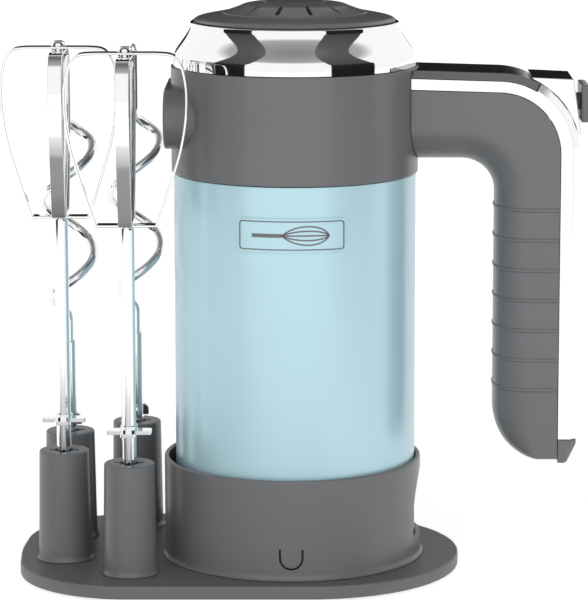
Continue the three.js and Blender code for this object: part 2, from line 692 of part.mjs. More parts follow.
function coolingFan() {
  const blades = Array.from({ length: 9 }, (_, i) => {
    return box(7, 34, -0.8, 0.8, 143, 153).rotate([0, 0, i * 40]);
  });
  const disc = post(0, 0, 142, 144, 36, 36, 24);
  const hub = post(0, 0, 142, 154, 8.5);
  return cut(union(disc, hub, ...blades), post(0, 0, 140, 160, SHAFT_R + GAP, SHAFT_R + GAP, FINE));
}

// one thread, right-handed: the raised part of each slice turns once in WORM_PITCH
function worm() {
  const [z0, z1] = [178, 206];
  const sides = 10;
  const perTurn = 6;
  const slices = Math.round(((z1 - z0) / WORM_PITCH) * perTurn);
  const layers = [];
  for (let k = 0; k <= slices; k++) {
    const z = z0 + ((z1 - z0) * k) / slices;
    const layer = [];
    for (let i = 0; i < sides; i++) {
      const angle = (2 * Math.PI * i) / sides;
      const phase = Math.cos(angle - (2 * Math.PI * (z - BOSS_Z)) / WORM_PITCH);
      const lift = Math.max(0, (phase - 0.1) / 0.9) ** 1.2;
      const r = WORM_ROOT + (WORM_R - WORM_ROOT) * lift;
      layer.push([r * Math.cos(angle), r * Math.sin(angle), z]);
    }
    layers.push(layer);
  }
  return cut(loft(layers), post(0, 0, z0 - 1, z1 + 1, SHAFT_R + GAP, SHAFT_R + GAP, FINE));
}

// a wheel whose gaps meet the worm's thread on the side that faces the motor axis
function wormWheel(sign) {
  const towards = sign > 0 ? 180 : 0; // degrees in y and z, from the wheel's axis to the worm
  const step = 360 / WHEEL_TEETH;
  const gap = towards - step / 4; // the thread is a quarter of a pitch off the middle there
  const points = [];
  for (let i = 0; i < WHEEL_TEETH; i++) {
    const at = gap + step * (i + 0.5);
    [[WHEEL_ROOT, -4.6], [WHEEL_R, -1.6], [WHEEL_R, 1.6], [WHEEL_ROOT, 4.6]].forEach(([r, a]) => {
      points.push([r * Math.cos(rad(at + a)), r * Math.sin(rad(at + a))]);
    });
  }
  const shape = new THREE.Shape(points.map(([y, z]) => new THREE.Vector2(y, z)));
  const g = new THREE.ExtrudeGeometry(shape, { depth: 6, bevelEnabled: false });
  const y = sign * SPINDLE_Y;
  g.applyMatrix4(new THREE.Matrix4().set(0, 0, 1, -3, 1, 0, 0, y, 0, 1, 0, BOSS_Z, 0, 0, 0, 1));
  return cut(solid(g), rod(-10, 10, sign * SPINDLE_Y, BOSS_Z, SPINDLE_R + GAP, ROUND));
}

function driveSpindle(sign) {
  const y = sign * SPINDLE_Y;
  const body = union(rod(-51.5, 8, y, BOSS_Z, SPINDLE_R, ROUND));
  return cut(body, rod(-60, 20, y, BOSS_Z, SPINDLE_BORE));
}

function socketBush(sign) {
  const y = sign * SPINDLE_Y;
  return cut(rod(-49.5, -34, y, BOSS_Z, 8.2 - GAP, ROUND), rod(-60, -20, y, BOSS_Z, SPINDLE_R + GAP, ROUND));
}

const SIDES = { front: -1, rear: 1 };
add('motor_frame', motorFrame(), NYLON);
add('rear_bearing', bearing(54, 60), BRASS);
add('front_bearing', bearing(158, 165), BRASS);
add('motor_stator', stator(), STEEL);
add('field_coil_left', fieldCoil(-1), COPPER);
add('field_coil_right', fieldCoil(1), COPPER);
add('motor_shaft', post(0, 0, 50, 207, SHAFT_R, SHAFT_R, FINE), STEEL);
add('armature_core', armatureCore(), STEEL);
add('commutator', commutator(), COPPER);
add('brush_bridge', brushBridge(), BRASS);
add('cooling_fan', coolingFan(), NYLON);
add('worm', worm(), STEEL);
for (const [name, sign] of Object.entries(SIDES)) {
  add(`worm_wheel_${name}`, wormWheel(sign), NYLON);
  add(`drive_spindle_${name}`, driveSpindle(sign), STEEL);
  add(`socket_bush_${name}`, socketBush(sign), NYLON);
}

// ---------------------------------------------------------------- tools
// half of a cage's outline as fractions of its half-width, against height
const CAGE = [[0.5, BEATER_LOW], [0.66, 162], [0.78, 171.5], [0.9, 181.5], [0.98, 193], [1, 202],
  [0.935, 214.4], [0.72, 220.2], [0.5, BEATER_TOP]];

const CAGE_STEPS = 12;

function cageEdge(half, inset) {
  const right = new THREE.SplineCurve(CAGE.map(([f, z]) => new THREE.Vector2(f * half, z)));
  const points = right.getPoints(CAGE_STEPS);
  const moved = points.map((p, i) => {
    const along = right.getTangent(i / CAGE_STEPS);
    return [p.x - along.y * inset, p.y + along.x * inset];
  });
  moved[0][1] = BEATER_LOW + inset;
  moved[moved.length - 1][1] = BEATER_TOP - inset;
  return moved;
}

function stripLoop(half, width) {
  const outer = cageEdge(half, 0);
  const inner = cageEdge(half, STRIP_T);
  const mirror = (edge) => [...edge, ...edge.map(([x, z]) => [-x, z]).reverse()];
  const shape = outlineOf(mirror(outer));
  shape.holes.push(new THREE.Path(mirror(inner).map(([x, z]) => new THREE.Vector2(x, z))));
  return cut(side(shape, -width / 2, width / 2), post(0, 0, 100, 240, SPINE_R + GAP, SPINE_R + GAP, FINE));
}

// the crossing loop is smaller, so that it passes inside the wide one at both ends
function crossLoop(half) {
  const squash = (BEATER_TOP - BEATER_LOW - 2 * STRIP_T - 1) / (BEATER_TOP - BEATER_LOW);
  const middle = (BEATER_TOP + BEATER_LOW) / 2;
  const loop = stripLoop(half - 1.6, STRIP_W - 0.6);
  return loop.translate([0, 0, -middle]).scale([1, 1, squash]).translate([0, 0, middle]).rotate([0, 0, 90]);
}

function beaterShaft() {
  const step = BEATER_LOW - GAP;
  const rivet = [[TOOL_R, step - 1], [SPINE_R, step], [SPINE_R, BEATER_TOP + GAP],
    [TOOL_R, BEATER_TOP + GAP], [TOOL_R, BEATER_TOP + 1.2], [2, BEATER_TOP + 2.1], [0, BEATER_TOP + 2.4]];
  return turned([[0, TOOL_FOOT], [TOOL_R - 0.8, TOOL_FOOT], [TOOL_R, TOOL_FOOT + 2], ...rivet], FINE);
}

function earedCollar() {
  const ears = [0, 90].map((a) => box(-9.2, 9.2, -3.1, 3.1, COLLAR_Z, COLLAR_Z + 1.6).rotate([0, 0, a]));
  const bore = post(0, 0, 50, 80, TOOL_R + GAP, TOOL_R + GAP, FINE);
  return cut(union(...ears, post(0, 0, COLLAR_Z, COLLAR_Z + 3.6, 4.4)), bore);
}

function beater(name, { x, y, cage }) {
  const at = [x, y, 0];
  add(`${name}_shaft`, beaterShaft().translate(at), CHROME);
  add(`${name}_collar`, earedCollar().translate(at), CHROME);
  add(`${name}_wide_loop`, stripLoop(cage, STRIP_W).translate(at), CHROME);
  add(`${name}_cross_loop`, crossLoop(cage).translate(at), CHROME);
}

// straight end, widening turns of the right-handed spiral, straight stem
class HookCurve extends THREE.Curve {
  getPoint(t, target = new THREE.Vector3()) {
    const z = HOOK_TOP - 1 + (HOOK_SLEEVE_TOP - 12 - HOOK_TOP + 1) * t;
    const ends = 13;
    const in1 = THREE.MathUtils.smoothstep(HOOK_TURNS_TOP - z, -2, ends);
    const in2 = THREE.MathUtils.smoothstep(z - HOOK_TURNS_LOW, -2, ends);
    const r = HOOK_R * in1 * in2;
    const angle = (2 * Math.PI * (z - HOOK_LOBE_Z)) / HOOK_PITCH;
    return target.set(r * Math.cos(angle), r * Math.sin(angle), z);
  }
}

function hookSpiral() {
  const section = new THREE.Shape();
  section.absellipse(0, 0, HOOK_WIRE, HOOK_WIRE, 0, Math.PI * 2, false);
  const g = new THREE.ExtrudeGeometry(section, {
    steps: 44, extrudePath: new HookCurve(), bevelEnabled: false, curveSegments: 3,
  });
  return solid(g);
}

function hookSleeve() {
  const z = HOOK_SLEEVE_TOP;
  const body = turned([[0, TOOL_FOOT], [TOOL_R - 0.8, TOOL_FOOT], [TOOL_R, TOOL_FOOT + 2],
    [TOOL_R, z - 1], [TOOL_R - 0.5, z], [0, z]], FINE);
  const lugs = [box(-5.2, 5.2, -0.8, 0.8, 55.5, 60.5), box(-0.8, 0.8, -5.2, 5.2, 55.5, 60.5)];
  const wireRoom = post(0, 0, z - 13, z + 1, HOOK_WIRE + GAP, HOOK_WIRE + GAP, FINE);
  return cut(union(body, ...lugs), wireRoom);
}

function hook(name, { x, y }) {
  add(`${name}_spiral`, hookSpiral().translate([x, y, 0]), CHROME);
  add(`${name}_sleeve`, hookSleeve().translate([x, y, 0]), CHROME);
}

beater('beater_left', POSTS.front_left);
beater('beater_right', POSTS.front_right);
hook('hook_left', POSTS.back_left);
hook('hook_right', POSTS.back_right);

group.children.forEach((mesh) => mesh.geometry.translate(-CENTRE_X, 0, 0));

export default group;
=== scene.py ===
# %% [markdown]
# # A hand mixer on its storage stand
# The real object is a grey plastic stand with a round cup, in which the mixer stands on its heel, and
# four hollow posts that hold two beaters and two dough hooks. The working parts come from the packed
# CAD model. This lesson gives each visible piece its fine surface and its finish.

# %% Load the frame
import json
import math
import bpy
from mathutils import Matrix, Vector


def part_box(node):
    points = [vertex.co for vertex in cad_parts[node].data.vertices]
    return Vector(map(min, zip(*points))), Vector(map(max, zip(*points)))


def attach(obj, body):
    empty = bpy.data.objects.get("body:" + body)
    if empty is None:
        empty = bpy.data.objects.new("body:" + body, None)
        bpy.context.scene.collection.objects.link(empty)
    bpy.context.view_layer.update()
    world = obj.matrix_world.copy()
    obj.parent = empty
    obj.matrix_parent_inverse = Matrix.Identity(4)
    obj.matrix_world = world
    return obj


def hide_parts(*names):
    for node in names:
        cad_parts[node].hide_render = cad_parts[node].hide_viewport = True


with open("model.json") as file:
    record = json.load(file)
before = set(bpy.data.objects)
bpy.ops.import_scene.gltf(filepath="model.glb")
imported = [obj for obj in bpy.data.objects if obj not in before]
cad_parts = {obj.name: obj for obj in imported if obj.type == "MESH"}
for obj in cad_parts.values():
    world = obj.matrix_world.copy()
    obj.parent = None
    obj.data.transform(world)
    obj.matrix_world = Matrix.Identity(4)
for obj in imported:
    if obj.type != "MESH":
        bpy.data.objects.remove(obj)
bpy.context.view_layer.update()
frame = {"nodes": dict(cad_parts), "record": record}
MM = 0.001
RECORD = frame["record"]
BODY = {node: body for body, nodes in RECORD["behaviour"]["bodies"].items() for node in nodes}
SLOT = {part["node"]: part["material_slot"] for part in RECORD["subparts"]}

# %% [markdown]
# ## Places
# Every place is read from the CAD boxes, so a piece can't drift away from the part it stands for.
# The mixer is round, so most of it is described by a radius and a height about the motor's axis.

# %% Where things are
def low(node):
    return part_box(node)[0]


def high(node):
    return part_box(node)[1]


def middle(node):
    return (low(node) + high(node)) / 2


AXIS = Vector((middle("body_sleeve").x, 0, 0))
SLEEVE_R = (high("body_sleeve").x - low("body_sleeve").x) / 2 / MM
print("motor axis at x", round(AXIS.x / MM, 2), "mm, sleeve radius", round(SLEEVE_R, 2), "mm")

# %% [markdown]
# ## Camera
# A long lens from far away keeps the uprights parallel, where a short one would lean them. The camera
# looks ten degrees down, just enough to show the tops of the posts and of the base.

# %% Set the camera
CAMERA_PITCH = 10.2
lens_data = bpy.data.cameras.new("camera")
lens_data.lens = 192
lens_data.shift_x = -0.0517
camera = bpy.data.objects.new("camera", lens_data)
camera.location = (0.01165, -1.3123, 0.3497)
camera.rotation_euler = (math.radians(90 - CAMERA_PITCH), 0, 0)
bpy.context.scene.collection.objects.link(camera)
bpy.context.scene.camera = camera
print("camera looks", CAMERA_PITCH, "degrees down")

# %% [markdown]
# ## Drawing and turning
# A turned part starts as a line: one vertex is extruded from point to point, and the line is spun
# about the axis, as on a lathe. A flat part starts as the same kind of line, closed into a face and
# extruded. These small helpers do the clicks that a person would do by hand.

# %% Helpers that draw
def open_piece(piece, mode="EDIT"):
    if bpy.context.mode != "OBJECT":
        bpy.ops.object.mode_set(mode="OBJECT")
    bpy.ops.object.select_all(action="DESELECT")
    piece.select_set(True)
    bpy.context.view_layer.objects.active = piece
    bpy.ops.object.mode_set(mode=mode)


def tidy(piece):
    """Merges doubles, then turns the faces outwards."""
    open_piece(piece)
    bpy.ops.mesh.select_all(action="SELECT")
    bpy.ops.mesh.remove_doubles(threshold=1e-6)
    bpy.ops.mesh.select_all(action="SELECT")
    bpy.ops.mesh.normals_make_consistent(inside=False)
    bpy.ops.object.mode_set(mode="OBJECT")
    return piece


def draw(name, points, face=False):
    """One vertex, extruded from point to point. With face, the line is closed and filled."""
    if bpy.context.mode != "OBJECT":
        bpy.ops.object.mode_set(mode="OBJECT")
    bpy.ops.object.select_all(action="DESELECT")
    bpy.ops.mesh.primitive_plane_add(size=MM, location=points[0])
    piece = bpy.context.object
    piece.name = piece.data.name = name
    bpy.ops.object.transform_apply(location=True, rotation=False, scale=False)
    bpy.ops.object.mode_set(mode="EDIT")
    bpy.ops.mesh.merge(type="CENTER")
    for start, end in zip(points, points[1:]):
        bpy.ops.mesh.extrude_vertices_move(TRANSFORM_OT_translate={"value": Vector(end) - Vector(start)})
    if face:
        bpy.ops.mesh.select_all(action="SELECT")
        bpy.ops.mesh.edge_face_add()
    bpy.ops.object.mode_set(mode="OBJECT")
    return piece


def turned(name, profile, origin=AXIS, along="Z", sides=160):
    """Spins (radius, height) points, in mm, about an axis through origin."""
    up, out = Vector((0, 0, 1)), Vector((1, 0, 0))
    if along == "X":
        up, out = out, up
    piece = draw(name, [origin + (out * r + up * h) * MM for r, h in profile])
    open_piece(piece)
    bpy.ops.mesh.select_all(action="SELECT")
    bpy.ops.mesh.spin(steps=sides, angle=2 * math.pi, center=origin, axis=up)
    return tidy(piece)


def slab(name, outline, depth):
    """A filled outline, extruded by the vector depth."""
    piece = draw(name, outline, face=True)
    open_piece(piece)
    bpy.ops.mesh.select_all(action="SELECT")
    bpy.ops.mesh.extrude_region_move(TRANSFORM_OT_translate={"value": depth})
    return tidy(piece)


def lofted(name, layers):
    """Closed outlines with the same number of points, bridged one to the next, with filled ends."""
    rings = [draw(f"{name}_{k}", [*layer, layer[0]]) for k, layer in enumerate(layers)]
    bpy.ops.object.select_all(action="DESELECT")
    for ring in rings:
        ring.select_set(True)
    bpy.context.view_layer.objects.active = rings[0]
    bpy.ops.object.join()
    piece = bpy.context.object
    piece.name = piece.data.name = name
    open_piece(piece)
    bpy.ops.mesh.select_all(action="SELECT")
    bpy.ops.mesh.remove_doubles(threshold=1e-6)
    bpy.ops.mesh.select_all(action="SELECT")
    bpy.ops.mesh.bridge_edge_loops()
    bpy.ops.mesh.select_all(action="DESELECT")
    bpy.ops.mesh.select_mode(type="EDGE")
    bpy.ops.mesh.select_non_manifold()
    bpy.ops.mesh.edge_face_add()
    bpy.ops.mesh.select_mode(type="VERT")
    return tidy(piece)


# %% [markdown]
# ## Cutting, rounding and copying
# Holes are cut with a boolean, edges are rounded with a bevel that only takes sharp edges, and what
# repeats is made once and copied, each copy with a mesh of its own.

# %% Helpers that shape
def boolean(piece, other, operation="DIFFERENCE"):
    open_piece(piece, "OBJECT")
    modifier = piece.modifiers.new(operation.lower(), "BOOLEAN")
    modifier.operation = operation
    modifier.object = other
    bpy.ops.object.modifier_apply(modifier=modifier.name)
    bpy.data.objects.remove(other)
    return piece


def soften(piece, width, segments=3, angle=40):
    """Rounds the edges that are sharper than angle."""
    open_piece(piece, "OBJECT")
    modifier = piece.modifiers.new("edges", "BEVEL")
    modifier.width = width * MM
    modifier.segments = segments
    modifier.angle_limit = math.radians(angle)
    bpy.ops.object.modifier_apply(modifier=modifier.name)
    return piece


def copy_of(piece, name, shift=(0, 0, 0)):
    twin = piece.copy()
    twin.data = piece.data.copy()
    twin.name = twin.data.name = name
    bpy.context.scene.collection.objects.link(twin)
    open_piece(twin)
    bpy.ops.mesh.select_all(action="SELECT")
    bpy.ops.transform.translate(value=shift)
    bpy.ops.object.mode_set(mode="OBJECT")
    return twin


def join(name, *pieces):
    bpy.ops.object.select_all(action="DESELECT")
    for piece in pieces:
        piece.select_set(True)
    bpy.context.view_layer.objects.active = pieces[0]
    bpy.ops.object.join()
    pieces[0].name = pieces[0].data.name = name
    return pieces[0]


def block(name, x, y, z):
    """A box between pairs of mm values, measured from the motor axis."""
    corners = [(x[0], y[0]), (x[1], y[0]), (x[1], y[1]), (x[0], y[1])]
    outline = [AXIS + Vector((a, b, z[0])) * MM for a, b in corners]
    return slab(name, outline, Vector((0, 0, z[1] - z[0])) * MM)


def rod(name, x, y, z, radius, sides=48):
    """A round bar along X, from x[0] to x[1] mm off the motor axis."""
    profile = [(0, x[0]), (radius, x[0]), (radius, x[1]), (0, x[1])]
    return turned(name, profile, AXIS + Vector((0, y, z)) * MM, "X", sides)


# %% [markdown]
# ## Curves in an outline
# Outlines are short lists of corners. A corner may be turned on an arc, and a free line is drawn
# through its points with a smooth spline.

# %% Helpers for outlines
def arc(u, v, radius, start, end, steps):
    turns = [math.radians(start + (end - start) * k / steps) for k in range(steps + 1)]
    return [(u + radius * math.cos(t), v + radius * math.sin(t)) for t in turns]


def bezier(a, b, c, d, steps):
    out = []
    for k in range(steps + 1):
        t = k / steps
        w = ((1 - t) ** 3, 3 * t * (1 - t) ** 2, 3 * t * t * (1 - t), t ** 3)
        out.append(tuple(w[0] * a[i] + w[1] * b[i] + w[2] * c[i] + w[3] * d[i] for i in (0, 1)))
    return out


def smooth_line(points, steps):
    """A spline through all the points, with steps pieces between neighbours."""
    ends = [points[0], *points, points[-1]]
    out = []
    for p, q, r, s in zip(ends, ends[1:], ends[2:], ends[3:]):
        for k in range(steps):
            t = k / steps
            out.append(tuple(0.5 * (2 * b + (c - a) * t + (2 * a - 5 * b + 4 * c - d) * t * t
                                    + (3 * b - a - 3 * c + d) * t ** 3) for a, b, c, d in zip(p, q, r, s)))
    return [*out, points[-1]]


def rounded(corners, steps=5, closed=True):
    """Corners (u, v, radius), each turned on an arc of its radius."""
    out = []
    last = len(corners) - 1
    for i, (u, v, radius) in enumerate(corners):
        here = Vector((u, v))
        if radius == 0 or (not closed and i in (0, last)):
            out.append((u, v))
            continue
        before = (Vector(corners[i - 1][:2]) - here).normalized()
        after = (Vector(corners[(i + 1) % (last + 1)][:2]) - here).normalized()
        half = before.angle(after) / 2
        centre = here + (before + after).normalized() * (radius / math.sin(half))
        first = here + before * (radius / math.tan(half)) - centre
        end = here + after * (radius / math.tan(half)) - centre
        start = math.atan2(first.y, first.x)
        turn = (math.atan2(end.y, end.x) - start + math.pi) % (2 * math.pi) - math.pi
        out += [(centre.x + radius * math.cos(start + turn * k / steps),
                 centre.y + radius * math.sin(start + turn * k / steps)) for k in range(steps + 1)]
    return out


def ring_line(corners, steps=3):
    """A turned part's profile that returns to its first point."""
    line = rounded(corners, steps)
    return [*line, line[0]]


def flat(points, z):
    """Outline points seen from above, in mm off the motor axis."""
    return [AXIS + Vector((x, y, z)) * MM for x, y in points]


def upright(points, y):
    """Outline points seen from the front."""
    return [AXIS + Vector((x, y, z)) * MM for x, z in points]


# %% [markdown]
# ## Finishes
# Moulded plastic isn't one flat colour: the mould's fine spark texture scatters the light, and the
# gloss changes a little from place to place. One function mixes that from two noises, a fine one
# for gloss and bump and a wide one for tone. Metals use the same function with a stretched grain.

# %% A finish from two noises
def finish(name, colour, roughness, metal=0.0, grain=1800, gloss=0.05, bump=0.1, tone=0.05, coat=0.0,
           stretch=(1, 1, 1), bands=0):
    made = bpy.data.materials.new(name)
    made.use_nodes = True
    tree = made.node_tree
    link = tree.links.new
    shader = tree.nodes["Principled BSDF"]
    shader.inputs["Metallic"].default_value = metal
    shader.inputs["Coat Weight"].default_value = coat
    place = tree.nodes.new("ShaderNodeTexCoord")
    mapping = tree.nodes.new("ShaderNodeMapping")
    mapping.inputs["Scale"].default_value = stretch
    link(place.outputs["Object"], mapping.inputs["Vector"])
    fine = tree.nodes.new("ShaderNodeTexNoise")
    fine.inputs["Scale"].default_value = grain
    fine.inputs["Detail"].default_value = 3
    wide = tree.nodes.new("ShaderNodeTexNoise")
    wide.inputs["Scale"].default_value = 35
    for noise in (fine, wide):
        link(mapping.outputs["Vector"], noise.inputs["Vector"])
    shine = tree.nodes.new("ShaderNodeMapRange")
    shine.inputs["To Min"].default_value = max(0.01, roughness - gloss)
    shine.inputs["To Max"].default_value = roughness + gloss
    link(fine.outputs["Fac"], shine.inputs["Value"])
    link(shine.outputs["Result"], shader.inputs["Roughness"])
    shade = tree.nodes.new("ShaderNodeMix")
    shade.data_type = "RGBA"
    shade.inputs["A"].default_value = (*[c * (1 - tone) for c in colour], 1)
    shade.inputs["B"].default_value = (*[min(1, c * (1 + tone)) for c in colour], 1)
    link(wide.outputs["Fac"], shade.inputs["Factor"])
    link(shade.outputs["Result"], shader.inputs["Base Color"])
    relief = tree.nodes.new("ShaderNodeBump")
    relief.inputs["Strength"].default_value = bump
    relief.inputs["Distance"].default_value = 0.1 * MM
    source = fine.outputs["Fac"]
    if bands:
        wave = tree.nodes.new("ShaderNodeTexWave")
        wave.bands_direction = "Z"
        wave.inputs["Scale"].default_value = bands
        link(place.outputs["Object"], wave.inputs["Vector"])
        source = wave.outputs["Fac"]
    link(source, relief.inputs["Height"])
    link(relief.outputs["Normal"], shader.inputs["Normal"])
    return made


# %% [markdown]
# This object needs a dozen finishes. Each is one call with its colour, its roughness and the size of
# its grain. The base is a rougher plastic than the rest, because its flat top would otherwise mirror
# the bright room. Windings and stacked sheets get bands, which is cheaper than modelling each wire.

# %% The finishes of this mixer
FINISHES = {
    "grey_plastic": finish("grey_plastic", (0.136, 0.138, 0.144), 0.31, grain=2200, bump=0.1),
    "stand_plastic": finish("stand_plastic", (0.132, 0.135, 0.14), 0.46, grain=2200, bump=0.12),
    "dark_plastic": finish("dark_plastic", (0.03, 0.03, 0.033), 0.5, grain=1600, bump=0.15),
    "black_plastic": finish("black_plastic", (0.012, 0.012, 0.013), 0.16, grain=900, bump=0.02, gloss=0.03),
    "chrome": finish("chrome", (0.93, 0.935, 0.94), 0.045, metal=1, grain=500, bump=0.01, gloss=0.02,
                     tone=0.02),
    "blue_paint": finish("blue_paint", (0.47, 0.69, 0.765), 0.29, metal=0.25, grain=3500, bump=0.015,
                         gloss=0.03, tone=0.02, coat=0.2),
    "rubber": finish("rubber", (0.018, 0.018, 0.018), 0.85, grain=1200, bump=0.3),
    "steel": finish("steel", (0.56, 0.57, 0.58), 0.26, metal=1, grain=900, bump=0.05, stretch=(0.1, 1, 1)),
    "laminations": finish("laminations", (0.3, 0.3, 0.31), 0.4, metal=1, grain=900, bump=0.5, bands=520),
    "copper": finish("copper", (0.62, 0.23, 0.1), 0.3, metal=1, grain=900, bump=0.6, bands=700),
    "nylon": finish("nylon", (0.78, 0.74, 0.62), 0.45, grain=1500, bump=0.08),
    "brass": finish("brass", (0.66, 0.46, 0.16), 0.28, metal=1, grain=900, bump=0.06, stretch=(1, 1, 12)),
}
print("finishes", len(FINISHES))


# %% [markdown]
# Every finished piece is treated alike, so one helper does it. Faces are smoothed up to an angle, and
# the normals are weighted by face size. Without that, the long wall beside a small rounded edge would
# be shaded as if it were bent. Then the piece is tied to its body and stands in for its CAD node.

# %% Put a finished piece in its place
def done(piece, *nodes, look=None, smooth=35):
    """Names the finish, the body and the CAD nodes that the piece stands for."""
    slot = SLOT[nodes[0]]
    if not piece.data.materials:
        piece.data.materials.append(FINISHES[look or slot])
    open_piece(piece, "OBJECT")
    bpy.ops.object.shade_smooth_by_angle(angle=math.radians(smooth))
    modifier = piece.modifiers.new("shading", "WEIGHTED_NORMAL")
    modifier.keep_sharp = True
    modifier.weight = 90
    bpy.ops.object.modifier_apply(modifier=modifier.name)
    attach(piece, BODY[nodes[0]])
    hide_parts(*nodes)
    print(piece.name, "stands for", ", ".join(nodes), "with", len(piece.data.polygons), "faces")


# %% [markdown]
# ## The base plate
# A long flat-sided oval, one moulding with a soft upper edge and a hollow underside. Its outline is
# one half circle under the cup and two wide corners under the tools. It could be a cut-down cylinder
# and box, but a drawn outline has no seam where the arcs meet the straights. A bevel rounds its edge.

# %% Model the base plate
PLATE_LOW, PLATE_HIGH = low("stand_plate"), high("stand_plate")
HALF_WIDTH = PLATE_HIGH.y / MM
ROUND_END = (PLATE_HIGH.x - AXIS.x) / MM - HALF_WIDTH
CORNER = 46
BULGE = 0.8


def plate_outline(inset):
    half = HALF_WIDTH - inset
    radius = CORNER - inset
    end = (PLATE_LOW.x - AXIS.x) / MM + CORNER + BULGE
    side = HALF_WIDTH - CORNER
    steps = (side * 0.66, side * 0.33, 0, -side * 0.33, -side * 0.66)
    bulge = [(end - radius - BULGE * (1 - (v / side) ** 2), v) for v in steps]
    return [*arc(ROUND_END, 0, half, -90, 90, 72), *arc(end, side, radius, 90, 180, 28), *bulge,
            *arc(end, -side, radius, 180, 270, 28)]


PLATE_WALL, PLATE_ROOF, COVER_INSET = 2.2, 2, 2.5
thick = Vector((0, 0, PLATE_HIGH.z - PLATE_LOW.z))
plate = slab("stand_plate_fine", flat(plate_outline(0), PLATE_LOW.z / MM), thick)
hollow = slab("hollow", flat(plate_outline(PLATE_WALL), 0), Vector((0, 0, PLATE_HIGH.z - PLATE_ROOF * MM)))
boolean(plate, hollow)
soften(plate, 0.8, 4)
done(plate, "stand_plate", look="stand_plastic")

cover_low, cover_high = low("base_cover"), high("base_cover")
cover_line = flat(plate_outline(COVER_INSET), cover_low.z / MM)
cover = slab("base_cover_fine", cover_line, Vector((0, 0, cover_high.z - cover_low.z)))
done(soften(cover, 0.2, 2), "base_cover")

# %% [markdown]
# ## The cup
# A thin round wall with a rolled rim and a small flare where it meets the plate. On the right it is
# cut open for the cord, and on the front a thin U-shaped slot frees a snap tab. The wall is turned,
# since a solidified cylinder would have no flare or rolled rim. The two openings are cut afterwards
# with extruded outlines, which leaves clean edges through the wall.

# %% Model the cup
CUP = Vector((middle("stand_cup").x, 0, 0))
CUP_FLOOR, CUP_TOP = low("stand_cup").z / MM, high("stand_cup").z / MM
FLARE = [(1.2, 0), (0.85, 0.25), (0.5, 0.65), (0.22, 1.25), (0.06, 1.9), (0, 2.6)]
CUP_R = (high("stand_cup").y - low("stand_cup").y) / 2 / MM - FLARE[0][0]
WALL = 1.9
wall = [(CUP_R + r, CUP_FLOOR + h) for r, h in FLARE]
rim = rounded([(CUP_R, CUP_FLOOR + 4, 0), (CUP_R, CUP_TOP, 0.8), (CUP_R - WALL, CUP_TOP, 0.8),
               (CUP_R - WALL, CUP_FLOOR + 1.7, 0)], closed=False)
cup = turned("stand_cup_fine", [(0, CUP_FLOOR), *wall, *rim, (0, CUP_FLOOR + 1.7)], CUP, sides=192)

SILL, WINDOW_TOP, WINDOW_HALF = 15, 41.5, 18
right = [(WINDOW_HALF, SILL), *bezier((WINDOW_HALF, 24), (WINDOW_HALF, 32), (14, 38), (9, WINDOW_TOP), 14),
         *bezier((9, WINDOW_TOP), (5, 43.6), (2, 43.6), (0, 43.6), 6)[1:]]
outline = [*right, *[(-y, z) for y, z in reversed(right[:-1])]]
window = slab("window", [CUP + Vector((30, y, z)) * MM for y, z in outline], Vector((30 * MM, 0, 0)))
boolean(cup, window)


def tab_outline(half):
    """The U seen from the front, from its top left end down and round to its top right end."""
    return [(-half, 20.2), *arc(0, 16.6, half, 180, 360, 20), (half, 20.2)]


slot_line = [*tab_outline(5), *reversed(tab_outline(4.1))]
tab = slab("tab", [CUP + Vector((x, -60, z)) * MM for x, z in slot_line], Vector((0, 12 * MM, 0)))
boolean(cup, tab)
done(cup, "stand_cup")

# %% [markdown]
# ## The tool posts
# Four alike, hollow, slightly tapered, with a cross-shaped key slot that a tool's ears drop into.
# One is turned with its socket in the profile, which saves a cut. Only the cross is cut, with two
# bars, and the others are copies, so that all four stay the same.

# %% Model the posts
POSTS = ["tool_post_front_left", "tool_post_front_right", "tool_post_back_left", "tool_post_back_right"]
POST_LOW, POST_TOP = low(POSTS[0]).z / MM, high(POSTS[0]).z / MM
SOCKET, SOCKET_DEPTH = 4.1, 31
KEY_LONG, KEY_WIDE, KEY_DEEP = 6, 1, 5
foot_r, top_r = 11, 10.3
flare = [(foot_r + r * 0.75, POST_LOW + h) for r, h in FLARE]
top = rounded([(foot_r, POST_LOW + 5, 0), (top_r, POST_TOP, 0.7), (SOCKET, POST_TOP, 0.3),
               (SOCKET, POST_TOP - SOCKET_DEPTH, 0)], steps=4, closed=False)
first = middle(POSTS[0])
stand = Vector((first.x, first.y, 0))
post = turned("post", [(0, POST_LOW), *flare, *top[1:], (0, POST_TOP - SOCKET_DEPTH)], stand, sides=72)
key_from = Vector((first.x - AXIS.x, first.y, 0)) / MM
for half_x, half_y in ((KEY_LONG, KEY_WIDE), (KEY_WIDE, KEY_LONG)):
    key = block("key", (key_from.x - half_x, key_from.x + half_x), (key_from.y - half_y, key_from.y + half_y),
                (POST_TOP - KEY_DEEP, POST_TOP + 1))
    boolean(post, key)
for node in POSTS[1:]:
    done(copy_of(post, f"{node}_fine", middle(node) - first), node)
post.name = f"{POSTS[0]}_fine"
done(post, POSTS[0])

# %% [markdown]
# Four small rubber pads keep the stand off the table. Each is a short turned disc, a little wider at
# the top, where it sits in the base. Turning it is as quick as scaling a cylinder, and rounds its edge.

# %% Model the rubber feet
for number in range(1, 5):
    node = f"foot_{number}"
    at = middle(node)
    tall = high(node).z / MM
    line = rounded([(0, 0, 0), (5.5, 0, 0.4), (6, tall, 0.2), (0, tall, 0)], steps=3, closed=False)
    done(turned(f"{node}_fine", line, Vector((at.x, at.y, 0)), sides=40), node)

# %% [markdown]
# ## The mixer's body
# The light blue sleeve is a drawn metal tube with a pearl paint. It sits between a grey heel cap,
# which hides in the cup, and a grey collar. A cylinder would do from afar, but these are turned from
# a profile with small rounded edges, because those catch the light where two pieces meet.

